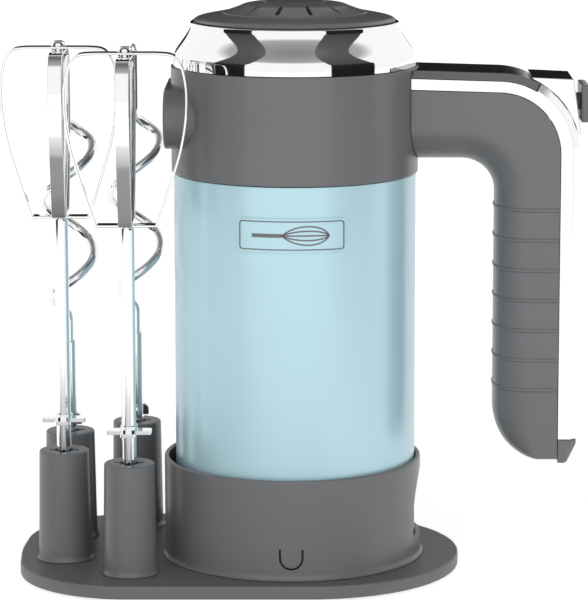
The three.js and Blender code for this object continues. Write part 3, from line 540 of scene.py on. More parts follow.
# %% Model the sleeve and the heel
sleeve_low, sleeve_top = low("body_sleeve").z / MM, high("body_sleeve").z / MM
sleeve = turned("body_sleeve_fine", ring_line([
    (SLEEVE_R, sleeve_low, 0.25), (SLEEVE_R, sleeve_top, 0.25), (SLEEVE_R - 1, sleeve_top, 0),
    (SLEEVE_R - 1, sleeve_low, 0)]), sides=192)
done(sleeve, "body_sleeve")

HEEL, HEEL_TOP = low("heel_cap").z / MM, high("heel_cap").z / MM
SPIGOT = SLEEVE_R - 1.4
heel = turned("heel_cap_fine", [(0, HEEL), *rounded([
    (30, HEEL, 0), (SLEEVE_R, HEEL, 4), (SLEEVE_R, sleeve_low - 0.3, 0.3), (SPIGOT, sleeve_low - 0.3, 0),
    (SPIGOT, HEEL_TOP, 0.4), (SPIGOT - 2, HEEL_TOP, 0), (SPIGOT - 2, HEEL + 2.4, 2)], closed=False),
    (0, HEEL + 2.4)])
INLET = middle("inlet_bush").z / MM
boolean(heel, rod("inlet_way", (35, 60), 0, INLET, 5.2))
done(heel, "heel_cap")
bush_in, bush_out = [(corner.x - AXIS.x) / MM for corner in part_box("inlet_bush")]
bush = turned("inlet_bush_fine", ring_line([
    (3.2, bush_in, 0.3), (6.6, bush_in, 0.3), (6.6, bush_in + 2.1, 0.2), (4.8, bush_in + 2.1, 0.2),
    (4.8, bush_out, 0.5), (3.2, bush_out, 0.4)]),
    AXIS + Vector((0, 0, INLET * MM)), "X", 48)
done(bush, "inlet_bush")

# %% [markdown]
# ## The collar and its boss
# The collar carries the two drive sockets on a stadium-shaped boss. The boss is a drawn outline,
# extruded towards the motor axis with its front edge rounded, then joined to the turned ring. Pulling
# it out of the ring's own faces would leave their round steps in it, and a union doesn't.

# %% Model the collar
COLLAR_R = (high("front_collar").y - low("front_collar").y) / 2 / MM
COLLAR_LOW, COLLAR_TOP = low("front_collar").z / MM, high("front_collar").z / MM
inner = COLLAR_R - 3
collar = turned("front_collar_fine", ring_line([
    (inner, COLLAR_LOW, 0), (COLLAR_R, COLLAR_LOW, 0.6), (COLLAR_R, COLLAR_TOP, 0.4),
    (inner - 1, COLLAR_TOP, 0), (inner - 1, COLLAR_TOP - 4, 0), (inner, COLLAR_TOP - 6, 0)]), sides=192)
SOCKETS = [middle("drive_spindle_front"), middle("drive_spindle_rear")]
BOSS_Z, BOSS_R = SOCKETS[0].z / MM, 12.4
BOSS_FACE = (low("front_collar").x - AXIS.x) / MM
spread = SOCKETS[1].y / MM
stadium = [*arc(spread, BOSS_Z, BOSS_R, -90, 90, 32), *arc(-spread, BOSS_Z, BOSS_R, 90, 270, 32)]
boss = slab("boss", [AXIS + Vector((BOSS_FACE, y, z)) * MM for y, z in stadium], Vector((25 * MM, 0, 0)))
soften(boss, 1.1, 4)
core_r = inner + 1
core_line = [(0, COLLAR_LOW - 5), (core_r, COLLAR_LOW - 5), (core_r, COLLAR_TOP + 5), (0, COLLAR_TOP + 5)]
boolean(boss, turned("core", core_line))
boolean(collar, boss, "UNION")
for socket in SOCKETS:
    boolean(collar, rod("socket", (-60, -30), socket.y / MM, BOSS_Z, 8.2))
done(collar, "front_collar", smooth=25)

# %% [markdown]
# In each hole of the boss a bush holds a hollow steel spindle, which grips a tool. They are four thin
# tubes, turned about an axis that points sideways. A turned profile gives each mouth its rounding.

# %% Model the drive sockets
for end, socket in zip(("front", "rear"), SOCKETS):
    centre = AXIS + Vector((0, socket.y, socket.z))
    near, far = [(corner.x - AXIS.x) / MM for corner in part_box(f"socket_bush_{end}")]
    done(turned(f"socket_bush_{end}_fine", ring_line([
        (6.8, near, 0.2), (7.9, near, 0.3), (7.9, far, 0), (6.8, far, 0)]),
        centre, "X", 56), f"socket_bush_{end}")
    near, far = [(corner.x - AXIS.x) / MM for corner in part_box(f"drive_spindle_{end}")]
    done(turned(f"drive_spindle_{end}_fine", ring_line([
        (3.5, near, 0.6), (6.5, near, 0.5), (6.5, far, 0.4), (3.5, far, 0.4)]),
        centre, "X", 56), f"drive_spindle_{end}")

# %% [markdown]
# ## The nose
# A bright chrome ring swells out at its foot and draws in to a waist, so that it mirrors the room
# in waves. Chrome shows every facet, so the swell is one smooth curve in many short steps, and not a
# bevelled cone.

# %% Model the chrome ring
RING_LOW, RING_TOP = low("nose_ring").z / MM, high("nose_ring").z / MM
swell = bezier((49.8, RING_LOW + 4.4), (48.9, RING_LOW + 7.6), (44.1, RING_LOW + 11.6),
               (42.9, RING_TOP - 1.6), 28)
ring = turned("nose_ring_fine", [
    (50, RING_LOW), (50, RING_LOW + 1.5), (49.95, RING_LOW + 3), *swell, (42.9, RING_TOP - 0.5),
    (42.75, RING_TOP - 0.15), (42.4, RING_TOP), (41.2, RING_TOP), (41.2, RING_TOP - 3), (45, RING_LOW + 8),
    (48.4, RING_LOW + 3), (48.4, RING_LOW), (50, RING_LOW)], sides=200)
done(ring, "nose_ring", smooth=60)

# %% [markdown]
# The grey cap has a raised middle with twelve air slots round it and two fine rings. Its crown is a
# spline through a few heights, turned. Each slot is a stretched circle, turned to its place and cut,
# because a slot drawn in the profile could only be a full ring.

# %% Model the cap
CAP_LOW, CAP_TOP = low("nose_cap").z / MM, high("nose_cap").z / MM
crown = smooth_line([(41.6, 230.6), (39.6, 231.8), (34, 233), (28.9, 234), (23.6, 235.8), (19.9, 237.2),
                     (13.7, 237.9), (6, CAP_TOP)], 6)
cap = turned("nose_cap_fine", [
    (0, CAP_LOW), (40.4, CAP_LOW), (40.4, 229.9), (41.2, 230.2), *crown, (0, CAP_TOP)], sides=200)
under = turned("under", [(0, CAP_LOW - 1), (38, CAP_LOW - 1), (38, 229.6), (24, 233), (0, 235.6)], sides=96)
boolean(cap, under)
SLOTS = 12
SLOT_FROM, SLOT_TO, SLOT_HALF = 16.4, 26.2, 0.9
slot_shape = [*arc(SLOT_FROM, 0, SLOT_HALF, 90, 270, 8), *arc(SLOT_TO, 0, SLOT_HALF, -90, 90, 8)]
for number in range(SLOTS):
    turn = 2 * math.pi * (number + 0.5) / SLOTS
    points = [(x * math.cos(turn) - y * math.sin(turn), x * math.sin(turn) + y * math.cos(turn))
              for x, y in slot_shape]
    boolean(cap, slab("slot", flat(points, 228), Vector((0, 0, 14 * MM))))
for radius, height in ((12.2, 237.2), (29.5, 233.3)):
    groove = [(radius, height + 0.5), (radius + 0.4, height), (radius + 0.8, height + 0.5),
              (radius + 0.8, 240), (radius, 240), (radius, height + 0.5)]
    boolean(cap, turned("groove", groove, sides=96))
done(cap, "nose_cap", smooth=40)

# %% [markdown]
# ## The badge
# A thin plate bent round the body, in the body's own blue, with a fine grey frame. The sign in it
# is a generic one: a small whisk. A flat plate could be wrapped with a shrinkwrap, but an outline cut
# out of a very thin tube is already round, and keeps an even thickness.

# %% Model the badge
badge_low, badge_high = low("badge_plate"), high("badge_plate")
BADGE = [(badge_low.x - AXIS.x) / MM, (badge_high.x - AXIS.x) / MM, badge_low.z / MM, badge_high.z / MM]
SKIN = SLEEVE_R + 0.25


def on_body(name, outlines, thickness):
    """Outlines seen from the front, cut out of a thin tube round the body."""
    through = Vector((0, 60 * MM, 0))
    sheets = [slab(f"{name}_{k}", upright(line, -60), through) for k, line in enumerate(outlines)]
    z0, z1 = BADGE[2] - 2, BADGE[3] + 2
    out = SKIN + thickness
    pieces = []
    for sheet in sheets:
        tube = turned("tube", [(SKIN, z0), (out, z0), (out, z1), (SKIN, z1), (SKIN, z0)], sides=240)
        pieces.append(boolean(tube, sheet, "INTERSECT"))
    return join(name, *pieces)


def badge_line(inset, radius):
    x0, x1, z0, z1 = BADGE[0] + inset, BADGE[1] - inset, BADGE[2] + inset, BADGE[3] - inset
    return rounded([(x0, z0, radius), (x1, z0, radius), (x1, z1, radius), (x0, z1, radius)], steps=6)


done(on_body("badge_plate_fine", [badge_line(0, 1.7)], 0.4), "badge_plate")
frame_line = on_body("badge_frame", [badge_line(0.9, 1.3)], 0.55)
inside = slab("inside", upright(badge_line(1.35, 1.0), -60), Vector((0, 60 * MM, 0)))
boolean(frame_line, inside)


# %% [markdown]
# The whisk is drawn with strokes: a line with a width on both sides of its points. A handle and five
# bows are enough to read as a whisk. A texture could draw them too, but real edges stay sharp.

# %% Model the whisk sign
def stroke(points, width):
    left, right_side = [], []
    for k, point in enumerate(points):
        before, after = points[max(0, k - 1)], points[min(len(points) - 1, k + 1)]
        along = (Vector(after) - Vector(before)).normalized() * width / 2
        left.append((point[0] - along.y, point[1] + along.x))
        right_side.append((point[0] + along.y, point[1] - along.x))
    return [*left, *reversed(right_side)]


badge_z = (BADGE[2] + BADGE[3]) / 2
sign_x = (BADGE[0] + BADGE[1]) / 2
LINE = 0.6
lines = [stroke([(sign_x - 16, badge_z), (sign_x - 4, badge_z)], 1.5)]
for reach in (-3.6, -1.8, 0, 1.8, 3.6):
    bow = bezier((sign_x - 4, badge_z), (sign_x + 2, badge_z + reach * 1.5),
                 (sign_x + 13, badge_z + reach * 1.3), (sign_x + 15, badge_z), 12)
    lines.append(stroke(bow, LINE))
sign = on_body("badge_sign", lines, 0.5)
for piece in (frame_line, sign):
    piece.data.materials.clear()
    piece.data.materials.append(FINISHES["grey_plastic"])
    open_piece(piece, "OBJECT")
    bpy.ops.object.shade_smooth_by_angle(angle=math.radians(35))
    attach(piece, BODY["badge_plate"])
print("badge", len(sign.data.polygons), "faces in the sign")

# %% [markdown]
# ## The handle
# Two plastic shells meet on the middle plane. Seen from the front the handle is an arm, a grip and
# a rounded foot. Towards the fingers it is rounded, so each shell is drawn as slices, from the
# middle plane to the side, whose inner edge steps back round a quarter circle. The slices are
# bridged, and the same slices, smaller by the wall, are cut away inside. A bevel can't do this, since
# the rounding is as wide as the grip and follows the curve of the foot.

# %% The handle's two edges
ROUNDING, SQUEEZE, SLICES = 16.5, 0.86, 12
FOOT_LIFT = 0.15
BACK_X, GRIP_X = 116.5, 82.5
ARM_Z, ARM_TOP = 173.9, 211.6
OUTER_R, INNER_R = 33.3, 14
HALF = 19
TRIM, CHAMFER, WALL_T = 7.7, 2.7, 2.4
CORNER_X = BACK_X - OUTER_R
ARM_END = 40
SLOPE = 0.0306
CORNER_Z = ARM_TOP - (CORNER_X - ARM_END) * SLOPE - OUTER_R
FOOT = low("handle_shell_front").z / MM


def outer_edge(inset, lift=0):
    """From the foot, which may be lifted, up the back and along the arm's top to the collar."""
    return [(BACK_X - max(inset, 3.7 + inset / 2), FOOT + lift), (BACK_X - inset, max(56, FOOT + lift + 1)),
            *arc(CORNER_X, CORNER_Z, OUTER_R - inset, 0, 88.3, 30), (ARM_END, ARM_TOP - inset)]


def inner_edge(inset, lift):
    """From the collar along the arm's underside and down the grip to the foot."""
    foot_line = [(GRIP_X + 18.5 + (18.5 - inset) * math.cos(t), 70.5 + (22.2 - lift) * math.sin(t))
                 for t in [math.radians(180 + 90 * k / 16) for k in range(17)]]
    return [(ARM_END, ARM_Z + inset),
            *arc(GRIP_X - INNER_R, ARM_Z - INNER_R, INNER_R + inset, 90, 0, 18), *foot_line]




def handle_slices(outer_inset, wall, start, sign):
    half, radius = HALF - wall, ROUNDING - wall
    layers = [upright([*inner_edge(wall, wall), *outer_edge(outer_inset, wall)], sign * start)]
    for k in range(SLICES + 1):
        t = math.radians(90 * k / SLICES)
        rounding = radius * (1 - math.cos(t)) * SQUEEZE
        lift = wall + rounding * FOOT_LIFT
        edge = [*inner_edge(wall + rounding, lift), *outer_edge(outer_inset, lift)]
        layers.append(upright(edge, sign * (half - radius + radius * math.sin(t))))
    return layers


# %% [markdown]
# Seven low ribs run round the grip. Each is a stack of grip outlines that swell and draw in again,
# half sunk in the shell, which gives the rounded crest of a moulded rib. They lie in the shell's own
# mesh and need no union, because only the part above the grip is seen.

# %% Model the two shells
RIBS, RIB_TOP, RIB_PITCH, RIB_H, PROUD = 7, 154.1, 12.5, 1.7, 0.45


def rib_outline(grow, sign):
    around = [(GRIP_X + ROUNDING * (1 - math.cos(t)) * SQUEEZE - grow * math.cos(t),
               sign * (HALF - ROUNDING + ROUNDING * math.sin(t) + grow * math.sin(t)))
              for t in [math.radians(90 * k / 14) for k in range(15)]]
    back = BACK_X - TRIM - 0.8
    return [(back, sign * 0.2), (around[0][0], sign * 0.2), *around, (back, around[-1][1])]


def rib(z, sign):
    swell_line = [(-1, -0.5), (-0.9, 0.05), (-0.62, 0.36), (-0.25, PROUD),
                  (0.25, PROUD), (0.62, 0.36), (0.9, 0.05), (1, -0.5)]
    return lofted("rib", [flat(rib_outline(grow, sign), z + side * RIB_H / 2) for side, grow in swell_line])


def drum(radius):
    """The round space that the collar takes."""
    return turned("drum", [(0, 150), (radius, 150), (radius, 230), (0, 230)], sides=192)


KNOB_Z = middle("eject_button").z / MM
ROD_WAY, SCREW_WAY = 3.4, 3.2


def knob_way():
    """The slot that the knob's tube slides in."""
    return block("knob_way", (90, 130), (-4, 4), (KNOB_Z - 12, KNOB_Z + 4))


for end, sign in (("front", -1), ("rear", 1)):
    shell = lofted(f"handle_{end}_fine", handle_slices(TRIM + 0.3, 0, 0.15, sign))
    room = lofted("room", handle_slices(TRIM + 0.3 + WALL_T, WALL_T, -1, sign))
    boolean(shell, room)
    boolean(shell, drum(COLLAR_R + 0.3))
    boolean(shell, knob_way())
    boolean(shell, rod("rod_way", (30, 115), 0, KNOB_Z, ROD_WAY))
    if end == "rear":
        for number in (1, 2):
            at = middle(f"handle_screw_{number}")
            sink_line = [(0, -5), (SCREW_WAY, -5), (SCREW_WAY, 5), (0, 5)]
            sink = turned("sink", sink_line, Vector((0, 0, 0)), sides=40)
            open_piece(sink)
            bpy.ops.mesh.select_all(action="SELECT")
            bpy.ops.transform.rotate(value=math.pi / 2, orient_axis="X", center_override=(0, 0, 0))
            bpy.ops.transform.translate(value=(at.x, HALF * MM + 2.2 * MM, at.z))
            bpy.ops.object.mode_set(mode="OBJECT")
            boolean(shell, sink)
    ribs = [rib(RIB_TOP - k * RIB_PITCH, sign) for k in range(RIBS)]
    done(join(f"handle_{end}_fine", shell, *ribs), f"handle_shell_{end}", smooth=30)

# %% [markdown]
# ## Trim round the handle
# A chamfered channel caps the handle's outer edge. On top of the arm, its faces that look up take the
# gloss black finish and its flanks take the grey one, so the top is darker. Round the corner and down the
# grip it is chrome, and a grey end closes the foot. The channel is drawn as slices too, hollowed, and
# then cut into the three pieces.

# %% Model the channel
TRIM_WALL = 2.2


def strip(name, start, end, half, chamfer, lift=0):
    def layer(extra, y):
        return upright([*outer_edge(start + extra, lift), *reversed(outer_edge(end, lift))], y)

    if not chamfer:
        return lofted(name, [layer(0, -half), layer(0, half)])
    return lofted(name, [layer(chamfer, -half), layer(0, chamfer - half),
                         layer(0, half - chamfer), layer(chamfer, half)])


def channel(name):
    piece = strip(name, 0, TRIM, HALF, CHAMFER)
    boolean(piece, strip("inside", TRIM_WALL, TRIM + 2, HALF - TRIM_WALL, 0, TRIM_WALL))
    boolean(piece, drum(COLLAR_R + 0.3))
    boolean(piece, knob_way())
    return piece


COVER_FROM, COVER_DEPTH, JOINT_GAP = 60, 3, 0.3


def cover_space(grow):
    start = COVER_FROM - (1 if grow else 0)
    rim_line = arc(CORNER_X, CORNER_Z, OUTER_R + 3, start, 88.3, 20)
    inner_line = arc(CORNER_X, CORNER_Z, OUTER_R - COVER_DEPTH - grow, start, 88.3, 20)
    edge = [*rim_line, (20, ARM_TOP + 4), (20, ARM_TOP - COVER_DEPTH - grow + 0.6), *reversed(inner_line)]
    return slab("cover_space", upright(edge, -HALF - 1), Vector((0, 2 * (HALF + 1) * MM, 0)))


# %% [markdown]
# The three trim pieces are cut from three copies of the channel, so they meet exactly, with a thin gap.
# The arm's cover takes two finishes: faces that look up are gloss black, and its flanks are grey. The
# faces are picked by their normals, so no hand selection is needed.

# %% Cut it into three
TRIM_END = low("spine_trim").z / MM
arm_cover = boolean(channel("arm_top_cover_fine"), cover_space(0), "INTERSECT")
spine = boolean(channel("spine_trim_fine"), cover_space(JOINT_GAP))
boolean(spine, block("foot_space", (60, 140), (-30, 30), (0, TRIM_END)))
keep = block("keep", (60, 140), (-30, 30), (0, TRIM_END - JOINT_GAP))
end_cap = boolean(channel("handle_end_cap_fine"), keep, "INTERSECT")
for piece in (spine, end_cap, arm_cover):
    soften(piece, 0.25, 2, 25)
arm_cover.data.materials.append(FINISHES["grey_plastic"])
arm_cover.data.materials.append(FINISHES["black_plastic"])
# Faces that look up take the gloss black finish and the rest take the grey one, which makes the cover darker
# on top.
for face in arm_cover.data.polygons:
    face.material_index = int(face.normal.z > 0.8 or face.normal.z > 0.3 and abs(face.normal.y) < 0.1)
done(arm_cover, "arm_top_cover", smooth=25)
done(spine, "spine_trim", smooth=25)
done(end_cap, "handle_end_cap", smooth=25)

# %% [markdown]
# ## Console, knob and eject button
# The chrome wedge behind the corner carries the speed knob, which slides up and down. It could be a
# box bent with a lattice, but its underside must follow the round corner, so it is drawn with the
# same arc, extruded sideways and softened.

# %% Model the console
WEDGE_HALF = high("control_wedge").y / MM
wedge_line = [(CORNER_X + (OUTER_R + 0.3) * math.cos(math.radians(66)), 208.4),
              *arc(CORNER_X, CORNER_Z, OUTER_R + 0.3, 66, 13, 30), (BACK_X + 0.5, 184.8), (113.8, 207.6)]
wedge = slab("control_wedge_fine", upright(wedge_line, -WEDGE_HALF), Vector((0, 2 * WEDGE_HALF * MM, 0)))
soften(wedge, 0.5, 3)
boolean(wedge, knob_way())
done(wedge, "control_wedge", smooth=30)

# %% [markdown]
# The knob is a small block with a square window for the eject button, on a tube that runs into the
# handle. The button is a plate on a stem. Both are drawn as slabs and joined to turned rods by a
# union, so that each is one closed moulding.

# %% Model the knob and the button
TUBE_R, TUBE_BORE, STEM_R, BUTTON_T, WINDOW_ROOM = 3.6, 2.7, 2.4, 1.4, 4.7
KNOB_LOW, KNOB_HIGH = low("speed_knob").z / MM, high("speed_knob").z / MM
knob_out, knob_half = (high("speed_knob").x - AXIS.x) / MM, high("speed_knob").y / MM
face_x = BACK_X + 0.8
knob_line = rounded([(face_x, KNOB_LOW, 0), (knob_out, KNOB_LOW, 1.6), (knob_out, KNOB_HIGH, 1.6),
                     (face_x, KNOB_HIGH, 0)])
knob = slab("speed_knob_fine", upright(knob_line, -knob_half), Vector((0, 2 * knob_half * MM, 0)))
soften(knob, 0.7, 4)
boolean(knob, rod("knob_tube", ((low("speed_knob").x - AXIS.x) / MM, face_x + 1), 0, KNOB_Z, TUBE_R), "UNION")
boolean(knob, block("button_way", (face_x + 0.8, 130), (-WINDOW_ROOM, WINDOW_ROOM),
                    (KNOB_Z - WINDOW_ROOM, KNOB_Z + WINDOW_ROOM)))
boolean(knob, rod("stem_way", (90, 130), 0, KNOB_Z, TUBE_BORE))
done(knob, "speed_knob")
button_low, button_high = low("eject_button"), high("eject_button")
button_half = button_high.y / MM
button_out = (button_high.x - AXIS.x) / MM
button = block("eject_button_fine", (button_out - BUTTON_T, button_out), (-button_half, button_half),
               (KNOB_Z - button_half, KNOB_Z + button_half))
soften(button, 0.35, 3)
boolean(button, rod("stem", ((button_low.x - AXIS.x) / MM, button_out - 1), 0, KNOB_Z, STEM_R), "UNION")
done(button, "eject_button")

# %% [markdown]
# ## Screws
# Two sunk screws hold the shells from the rear. The CAD screw already has its cross recess, so its
# mesh is copied, merged, and gets rounded edges. Drawing it again would gain nothing at this size.

# %% Refine the screws
for number in (1, 2):
    node = f"handle_screw_{number}"
    screw = tidy(copy_of(frame["nodes"][node], f"{node}_fine"))
    done(soften(screw, 0.15, 2), node)

# %% [markdown]
# ## The beaters
# A steel strip bent into a loop, and a second one crossing it, are riveted to the shaft at the top
# and bottom. The loop is drawn in outline, inset by the strip's thickness, hollowed and extruded to
# its width, which keeps the same thickness all the way round. A bevelled curve could follow the
# loop as well, but its strip would twist at the tight corners.

# %% Model the beaters
CAGE = [(0.5, 150.5), (0.66, 162), (0.78, 171.5), (0.9, 181.5), (0.98, 193), (1, 202), (0.985, 208.5),
        (0.935, 214.4), (0.84, 218.6), (0.72, 220.5), (0.5, 221)]
CAGE_LOW, CAGE_TOP = CAGE[0][1], CAGE[-1][1]
SHAFT_R, SPINE_R = 3, 1.9
STRIP_WIDE, STRIP_CROSS, STRIP_T = 6.2, 5.6, 1
ACROSS, DEEP = Vector((1, 0, 0)), Vector((0, 1, 0))


def strip_loop(name, centre, half, width, crossing):
    squash = (CAGE_TOP - CAGE_LOW - 3) / (CAGE_TOP - CAGE_LOW) if crossing else 1
    mid = (CAGE_TOP + CAGE_LOW) / 2
    side = [(f * half, mid + (z - mid) * squash) for f, z in smooth_line(CAGE, 4)]
    outline_points = [*side, *[(-x, z) for x, z in reversed(side)]]
    across, along = (DEEP, ACROSS) if crossing else (ACROSS, DEEP)
    start = Vector((centre.x, centre.y, 0)) - along * width / 2 * MM
    loop = draw(name, [start + (across * u + Vector((0, 0, z))) * MM for u, z in outline_points], face=True)
    open_piece(loop)
    bpy.ops.mesh.select_all(action="SELECT")
    bpy.ops.mesh.inset(thickness=STRIP_T * MM, depth=0)
    bpy.ops.mesh.delete(type="FACE")
    bpy.ops.mesh.select_all(action="SELECT")
    bpy.ops.mesh.extrude_region_move(TRANSFORM_OT_translate={"value": along * width * MM})
    return soften(tidy(loop), 0.28, 3)


def eared_collar(name, centre, z):
    """Two crossing bars with rounded ends on a small hub."""
    pieces = []
    for turn in (0, 1):
        ear = rounded([(-9.2, -3.1, 1.2), (9.2, -3.1, 1.2), (9.2, 3.1, 1.2), (-9.2, 3.1, 1.2)], steps=4)
        points = [(y, x) if turn else (x, y) for x, y in ear]
        at = Vector((centre.x, centre.y, z))
        pieces.append(slab("ear", [at + Vector((x, y, 0)) * MM for x, y in points], Vector((0, 0, 1.6 * MM))))
    cross = boolean(pieces[0], pieces[1], "UNION")
    hub = turned("hub", rounded([(0, 0.3, 0), (3.5, 0.3, 0), (3.5, 3.6, 0.4), (0, 3.6, 0)], closed=False),
                 Vector((centre.x, centre.y, z)), sides=48)
    boolean(cross, hub, "UNION")
    cross.name = name
    return soften(cross, 0.25, 2)


for tool in ("beater_left", "beater_right"):
    shaft = f"{tool}_shaft"
    at = middle(shaft)
    base = Vector((at.x, at.y, 0))
    foot, crown_z = low(shaft).z / MM, high(shaft).z / MM
    line = [(0, foot), (2.2, foot), (SHAFT_R, foot + 1.6), (SHAFT_R, CAGE_LOW - 1.2), (2.7, CAGE_LOW - 0.3),
            (SPINE_R, CAGE_LOW - 0.3), (SPINE_R, CAGE_TOP + 0.1), (SHAFT_R, CAGE_TOP + 0.1),
            (SHAFT_R, CAGE_TOP + 0.9), (2.6, crown_z - 0.7), (1.6, crown_z - 0.1), (0, crown_z)]
    done(turned(f"{shaft}_fine", line, base, sides=64), shaft)
    done(eared_collar(f"{tool}_collar_fine", base, low(f"{tool}_collar").z), f"{tool}_collar")
    wide = f"{tool}_wide_loop"
    half = (high(wide).x - low(wide).x) / 2 / MM
    done(strip_loop(f"{wide}_fine", base, half, STRIP_WIDE, False), wide)
    narrow = strip_loop(f"{tool}_cross_loop_fine", base, half - 1.6, STRIP_CROSS, True)
    done(narrow, f"{tool}_cross_loop")

# %% [markdown]
# ## The dough hooks
# A hook is a round rod wound into a right-handed spiral, with a sleeve pressed on its lower end. A
# curve with a round bevel follows the spiral, and becomes a mesh when it is right. A screw modifier
# would keep one radius, and this wire has to run back to the middle at both ends. Its thickness falls
# away over the last few points, which makes the rounded tip.

# %% Model the hooks
SPIRAL_R, WIRE, PITCH, LOBE_Z = 10.8, 2.1, 45.4, 174.7
TURNS_TOP, TURNS_LOW, BLEND = 188, 103, 15


def ease(t):
    t = min(1, max(0, t))
    return t * t * (3 - 2 * t)


def spiral(name, base, top_z, low_z, steps=260):
    curve = bpy.data.curves.new(name, "CURVE")
    curve.dimensions = "3D"
    curve.bevel_depth = WIRE * MM
    curve.bevel_resolution = 6
    curve.use_fill_caps = True
    line = curve.splines.new("POLY")
    line.points.add(steps)
    for k, point in enumerate(line.points):
        z = low_z + (top_z - low_z) * k / steps
        reach = SPIRAL_R * ease((TURNS_TOP + 2 - z) / BLEND) * ease((z - TURNS_LOW + 2) / BLEND)
        turn = 2 * math.pi * (z - LOBE_Z) / PITCH
        at = base + Vector((reach * math.cos(turn), reach * math.sin(turn), z)) * MM
        point.co = (*at, 1)
        to_tip = (top_z - z) / (1.6 * WIRE)
        point.radius = math.sqrt(max(0.02, 1 - (1 - min(1, to_tip)) ** 2))
    piece = bpy.data.objects.new(name, curve)
    bpy.context.scene.collection.objects.link(piece)
    open_piece(piece, "OBJECT")
    bpy.ops.object.convert(target="MESH")
    return tidy(bpy.context.object)


for tool in ("hook_left", "hook_right"):
    node = f"{tool}_sleeve"
    at = middle(node)
    base = Vector((at.x, at.y, 0))
    foot, sleeve_end = low(node).z / MM, high(node).z / MM
    line = [(0, foot), (2.2, foot), (SHAFT_R, foot + 1.6), (SHAFT_R, sleeve_end - 0.7),
            (2.6, sleeve_end - 0.1), (2.2, sleeve_end), (0, sleeve_end)]
    tube = turned(f"{tool}_sleeve_fine", line, base, sides=48)
    for turn in (0, 1):
        lug = rounded([(-5.2, 55.5, 0.8), (5.2, 55.5, 0.8), (5.2, 60.5, 2.4), (-5.2, 60.5, 2.4)])
        side, through = (DEEP, ACROSS) if turn else (ACROSS, DEEP)
        points = [base + (side * u - through * 0.8 + Vector((0, 0, z))) * MM for u, z in lug]
        boolean(tube, soften(slab("lug", points, through * 1.6 * MM), 0.3, 2), "UNION")
    done(tube, node)
    node = f"{tool}_spiral"
    done(spiral(f"{tool}_spiral_fine", base, high(node).z / MM, low(node).z / MM), node, smooth=60)

# %% [markdown]
# ## Inside the housing
# The motor, gears and switch have the right shape in CAD already, and only need their finishes. The
# stator and the armature are stacks of thin sheets, and the coils are rows of wire, so these get a
# finish with fine bands.

# %% Finish the inner parts
BANDED = {"motor_stator": "laminations", "armature_core": "laminations"}
shown = [(node, part) for node, part in frame["nodes"].items() if not part.hide_render]
for node, part in shown:
    part.data.materials.clear()
    part.data.materials.append(FINISHES[BANDED.get(node, SLOT[node])])
print("inner parts", len(shown), [node for node, _ in shown])

# %% [markdown]
# ## Light and floor
# A white table in a white room. Chrome shows its shape only by what it mirrors, so black cards stand
# beside it in a studio: here two at the front corners and one behind. A fourth card lies on the table
# with painted shade, glowing darker towards the mixer, so that the chrome mirrors the table as if it
# were shaded there. Lamps alone would leave the chrome white on white. The cards are seen in reflections
# only.

# %% Set the cards
def fading(name, stops, start, end, axis):
    """A glow that changes along one axis, from start to end, through the stops (place, strength)."""
    made = bpy.data.materials.new(name)
    made.use_nodes = True
    tree = made.node_tree
    link = tree.links.new
    tree.nodes.remove(tree.nodes["Principled BSDF"])
    glow = tree.nodes.new("ShaderNodeEmission")
    link(glow.outputs["Emission"], tree.nodes["Material Output"].inputs["Surface"])
    place = tree.nodes.new("ShaderNodeTexCoord")
    parts = tree.nodes.new("ShaderNodeSeparateXYZ")
    along = tree.nodes.new("ShaderNodeMapRange")
    along.inputs["From Min"].default_value = start
    along.inputs["From Max"].default_value = end
    ramp = tree.nodes.new("ShaderNodeValToRGB")
    elements = ramp.color_ramp.elements
    while len(elements) < len(stops):
        elements.new(0.5)
    for element, (position, strength) in zip(elements, stops):
        element.position = position
        element.color = (strength, strength, strength, 1)
    link(place.outputs["Object"], parts.inputs["Vector"])
    link(parts.outputs[axis], along.inputs["Value"])
    link(along.outputs["Result"], ramp.inputs["Fac"])
    link(ramp.outputs["Color"], glow.inputs["Color"])
    return made


def card(name, corners, made):
    piece = draw(name, [Vector(c) for c in corners], face=True)
    piece.data.materials.append(made)
    piece.visible_camera = piece.visible_diffuse = piece.visible_shadow = False
    return piece


STANDING = fading("standing_card", [(0, 0.01), (0.1, 0.014), (0.25, 0.07), (0.6, 0.1), (1, 0.2)], 0, 3, "Z")
for name, azimuth, half_width in (("card_left", -64, 0.325), ("card_right", 57, 0.42)):
    turn = math.radians(azimuth)
    centre = Vector((math.sin(turn), -math.cos(turn), 0))
    across = Vector((math.cos(turn), math.sin(turn), 0)) * half_width
    up = Vector((0, 0, 3))
    card(name, [centre - across, centre + across, centre + across + up, centre - across + up], STANDING)
card("card_behind", [(-0.27, 0.6, 0.22), (0.17, 0.6, 0.22), (0.17, 0.6, 0.75), (-0.27, 0.6, 0.75)],
     fading("back_card", [(0, 0.012), (1, 0.012)], 0, 1, "Z"))
# The card on the table is painted shade: its glow falls from light far out to dark near the mixer, and only
# reflections show it.
NEAR, FAR, LIFT = -0.41, -0.06, 0.0004
card("painted_shade_card", [(-0.35, NEAR, LIFT), (0.12, NEAR, LIFT), (0.12, FAR, LIFT), (-0.35, FAR, LIFT)],
     fading("table_painted_shade", [(0, 0.9), (0.4, 0.55), (0.46, 0.33), (0.6, 0.3), (0.7, 0.145), (1, 0.1)],
            NEAR, FAR, "Y"))

# %% [markdown]
# The table is plain paper that glows a little, so that it stays white without a hot lamp on it. It
# glows less towards the plastic than towards the chrome, which keeps the undersides darker.

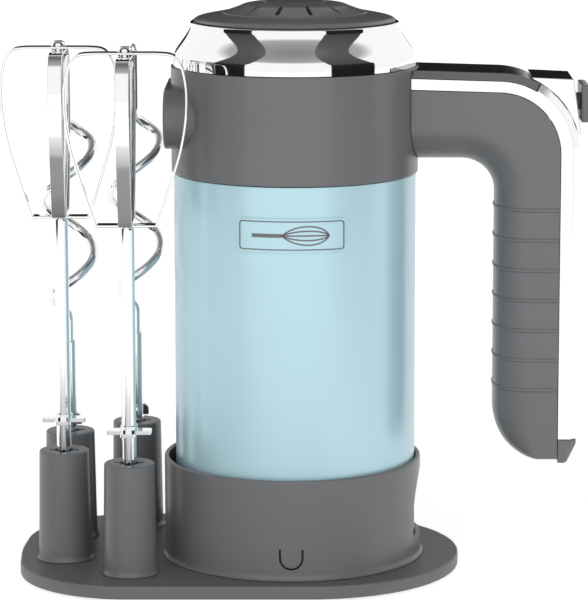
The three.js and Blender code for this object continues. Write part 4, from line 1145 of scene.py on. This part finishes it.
# %% Set the floor
floor = draw("floor", [Vector((x, y, 0)) for x, y in ((-4, -4), (4, -4), (4, 4), (-4, 4))], face=True)
paper = bpy.data.materials.new("paper")
paper.use_nodes = True
paper_shader = paper.node_tree.nodes["Principled BSDF"]
paper_shader.inputs["Base Color"].default_value = (0.5, 0.5, 0.5, 1)
paper_shader.inputs["Roughness"].default_value = 0.9
paper_shader.inputs["Emission Color"].default_value = (1, 1, 1, 1)
paper_glow = paper.node_tree.nodes.new("ShaderNodeMapRange")
paper_ray = paper.node_tree.nodes.new("ShaderNodeLightPath")
paper_glow.inputs["To Min"].default_value = 0.82
paper_glow.inputs["To Max"].default_value = 0.36
paper.node_tree.links.new(paper_ray.outputs["Is Diffuse Ray"], paper_glow.inputs["Value"])
paper.node_tree.links.new(paper_glow.outputs["Result"], paper_shader.inputs["Emission Strength"])
floor.data.materials.append(paper)

# %% [markdown]
# The sky has two jobs. What the plastic scatters comes mostly from the front, as from a wide soft
# box. What the chrome mirrors is white up to half way and darker overhead.

# %% Set the sky
sky = bpy.data.worlds.new("white_room")
bpy.context.scene.world = sky
sky.use_nodes = True
nodes, links = sky.node_tree.nodes, sky.node_tree.links
direction = nodes.new("ShaderNodeTexCoord")
parts = nodes.new("ShaderNodeSeparateXYZ")
links.new(direction.outputs["Generated"], parts.inputs["Vector"])


def sky_ramp(stops):
    ramp = nodes.new("ShaderNodeValToRGB")
    elements = ramp.color_ramp.elements
    while len(elements) < len(stops):
        elements.new(0.5)
    for element, (position, strength) in zip(elements, stops):
        element.position = position
        element.color = (strength, strength, strength, 1)
    return ramp


def mixed(factor, a, b):
    mix = nodes.new("ShaderNodeMix")
    mix.data_type = "RGBA"
    links.new(factor, mix.inputs["Factor"])
    for value, socket in ((a, mix.inputs["A"]), (b, mix.inputs["B"])):
        if isinstance(value, tuple):
            socket.default_value = value
        else:
            links.new(value, socket)
    return mix.outputs["Result"]


mirrored = sky_ramp([(0.66, 1), (0.75, 0.42), (0.9, 0.3), (1, 0.14)])
links.new(parts.outputs["Z"], mirrored.inputs["Fac"])
frontal = nodes.new("ShaderNodeMapRange")
frontal.inputs["From Min"].default_value = 1
frontal.inputs["From Max"].default_value = -1
links.new(parts.outputs["Y"], frontal.inputs["Value"])
soft_box = sky_ramp([(0, 0.03), (0.45, 0.12), (0.85, 1), (1, 1)])
links.new(frontal.outputs["Result"], soft_box.inputs["Fac"])
overhead = sky_ramp([(0.45, 1), (0.95, 0.12)])
links.new(parts.outputs["Z"], overhead.inputs["Fac"])
scattered = nodes.new("ShaderNodeVectorMath")
scattered.operation = "MULTIPLY"
links.new(soft_box.outputs["Color"], scattered.inputs[0])
links.new(overhead.outputs["Color"], scattered.inputs[1])
stronger = nodes.new("ShaderNodeVectorMath")
stronger.operation = "SCALE"
stronger.inputs["Scale"].default_value = 2.05
links.new(scattered.outputs["Vector"], stronger.inputs[0])
ray = nodes.new("ShaderNodeLightPath")
colour = mixed(ray.outputs["Is Diffuse Ray"], mirrored.outputs["Color"], stronger.outputs["Vector"])
colour = mixed(ray.outputs["Is Camera Ray"], colour, (1, 1, 1, 1))
links.new(colour, nodes["Background"].inputs["Color"])
bpy.context.scene.view_settings.view_transform = "Standard"
print("sky set")
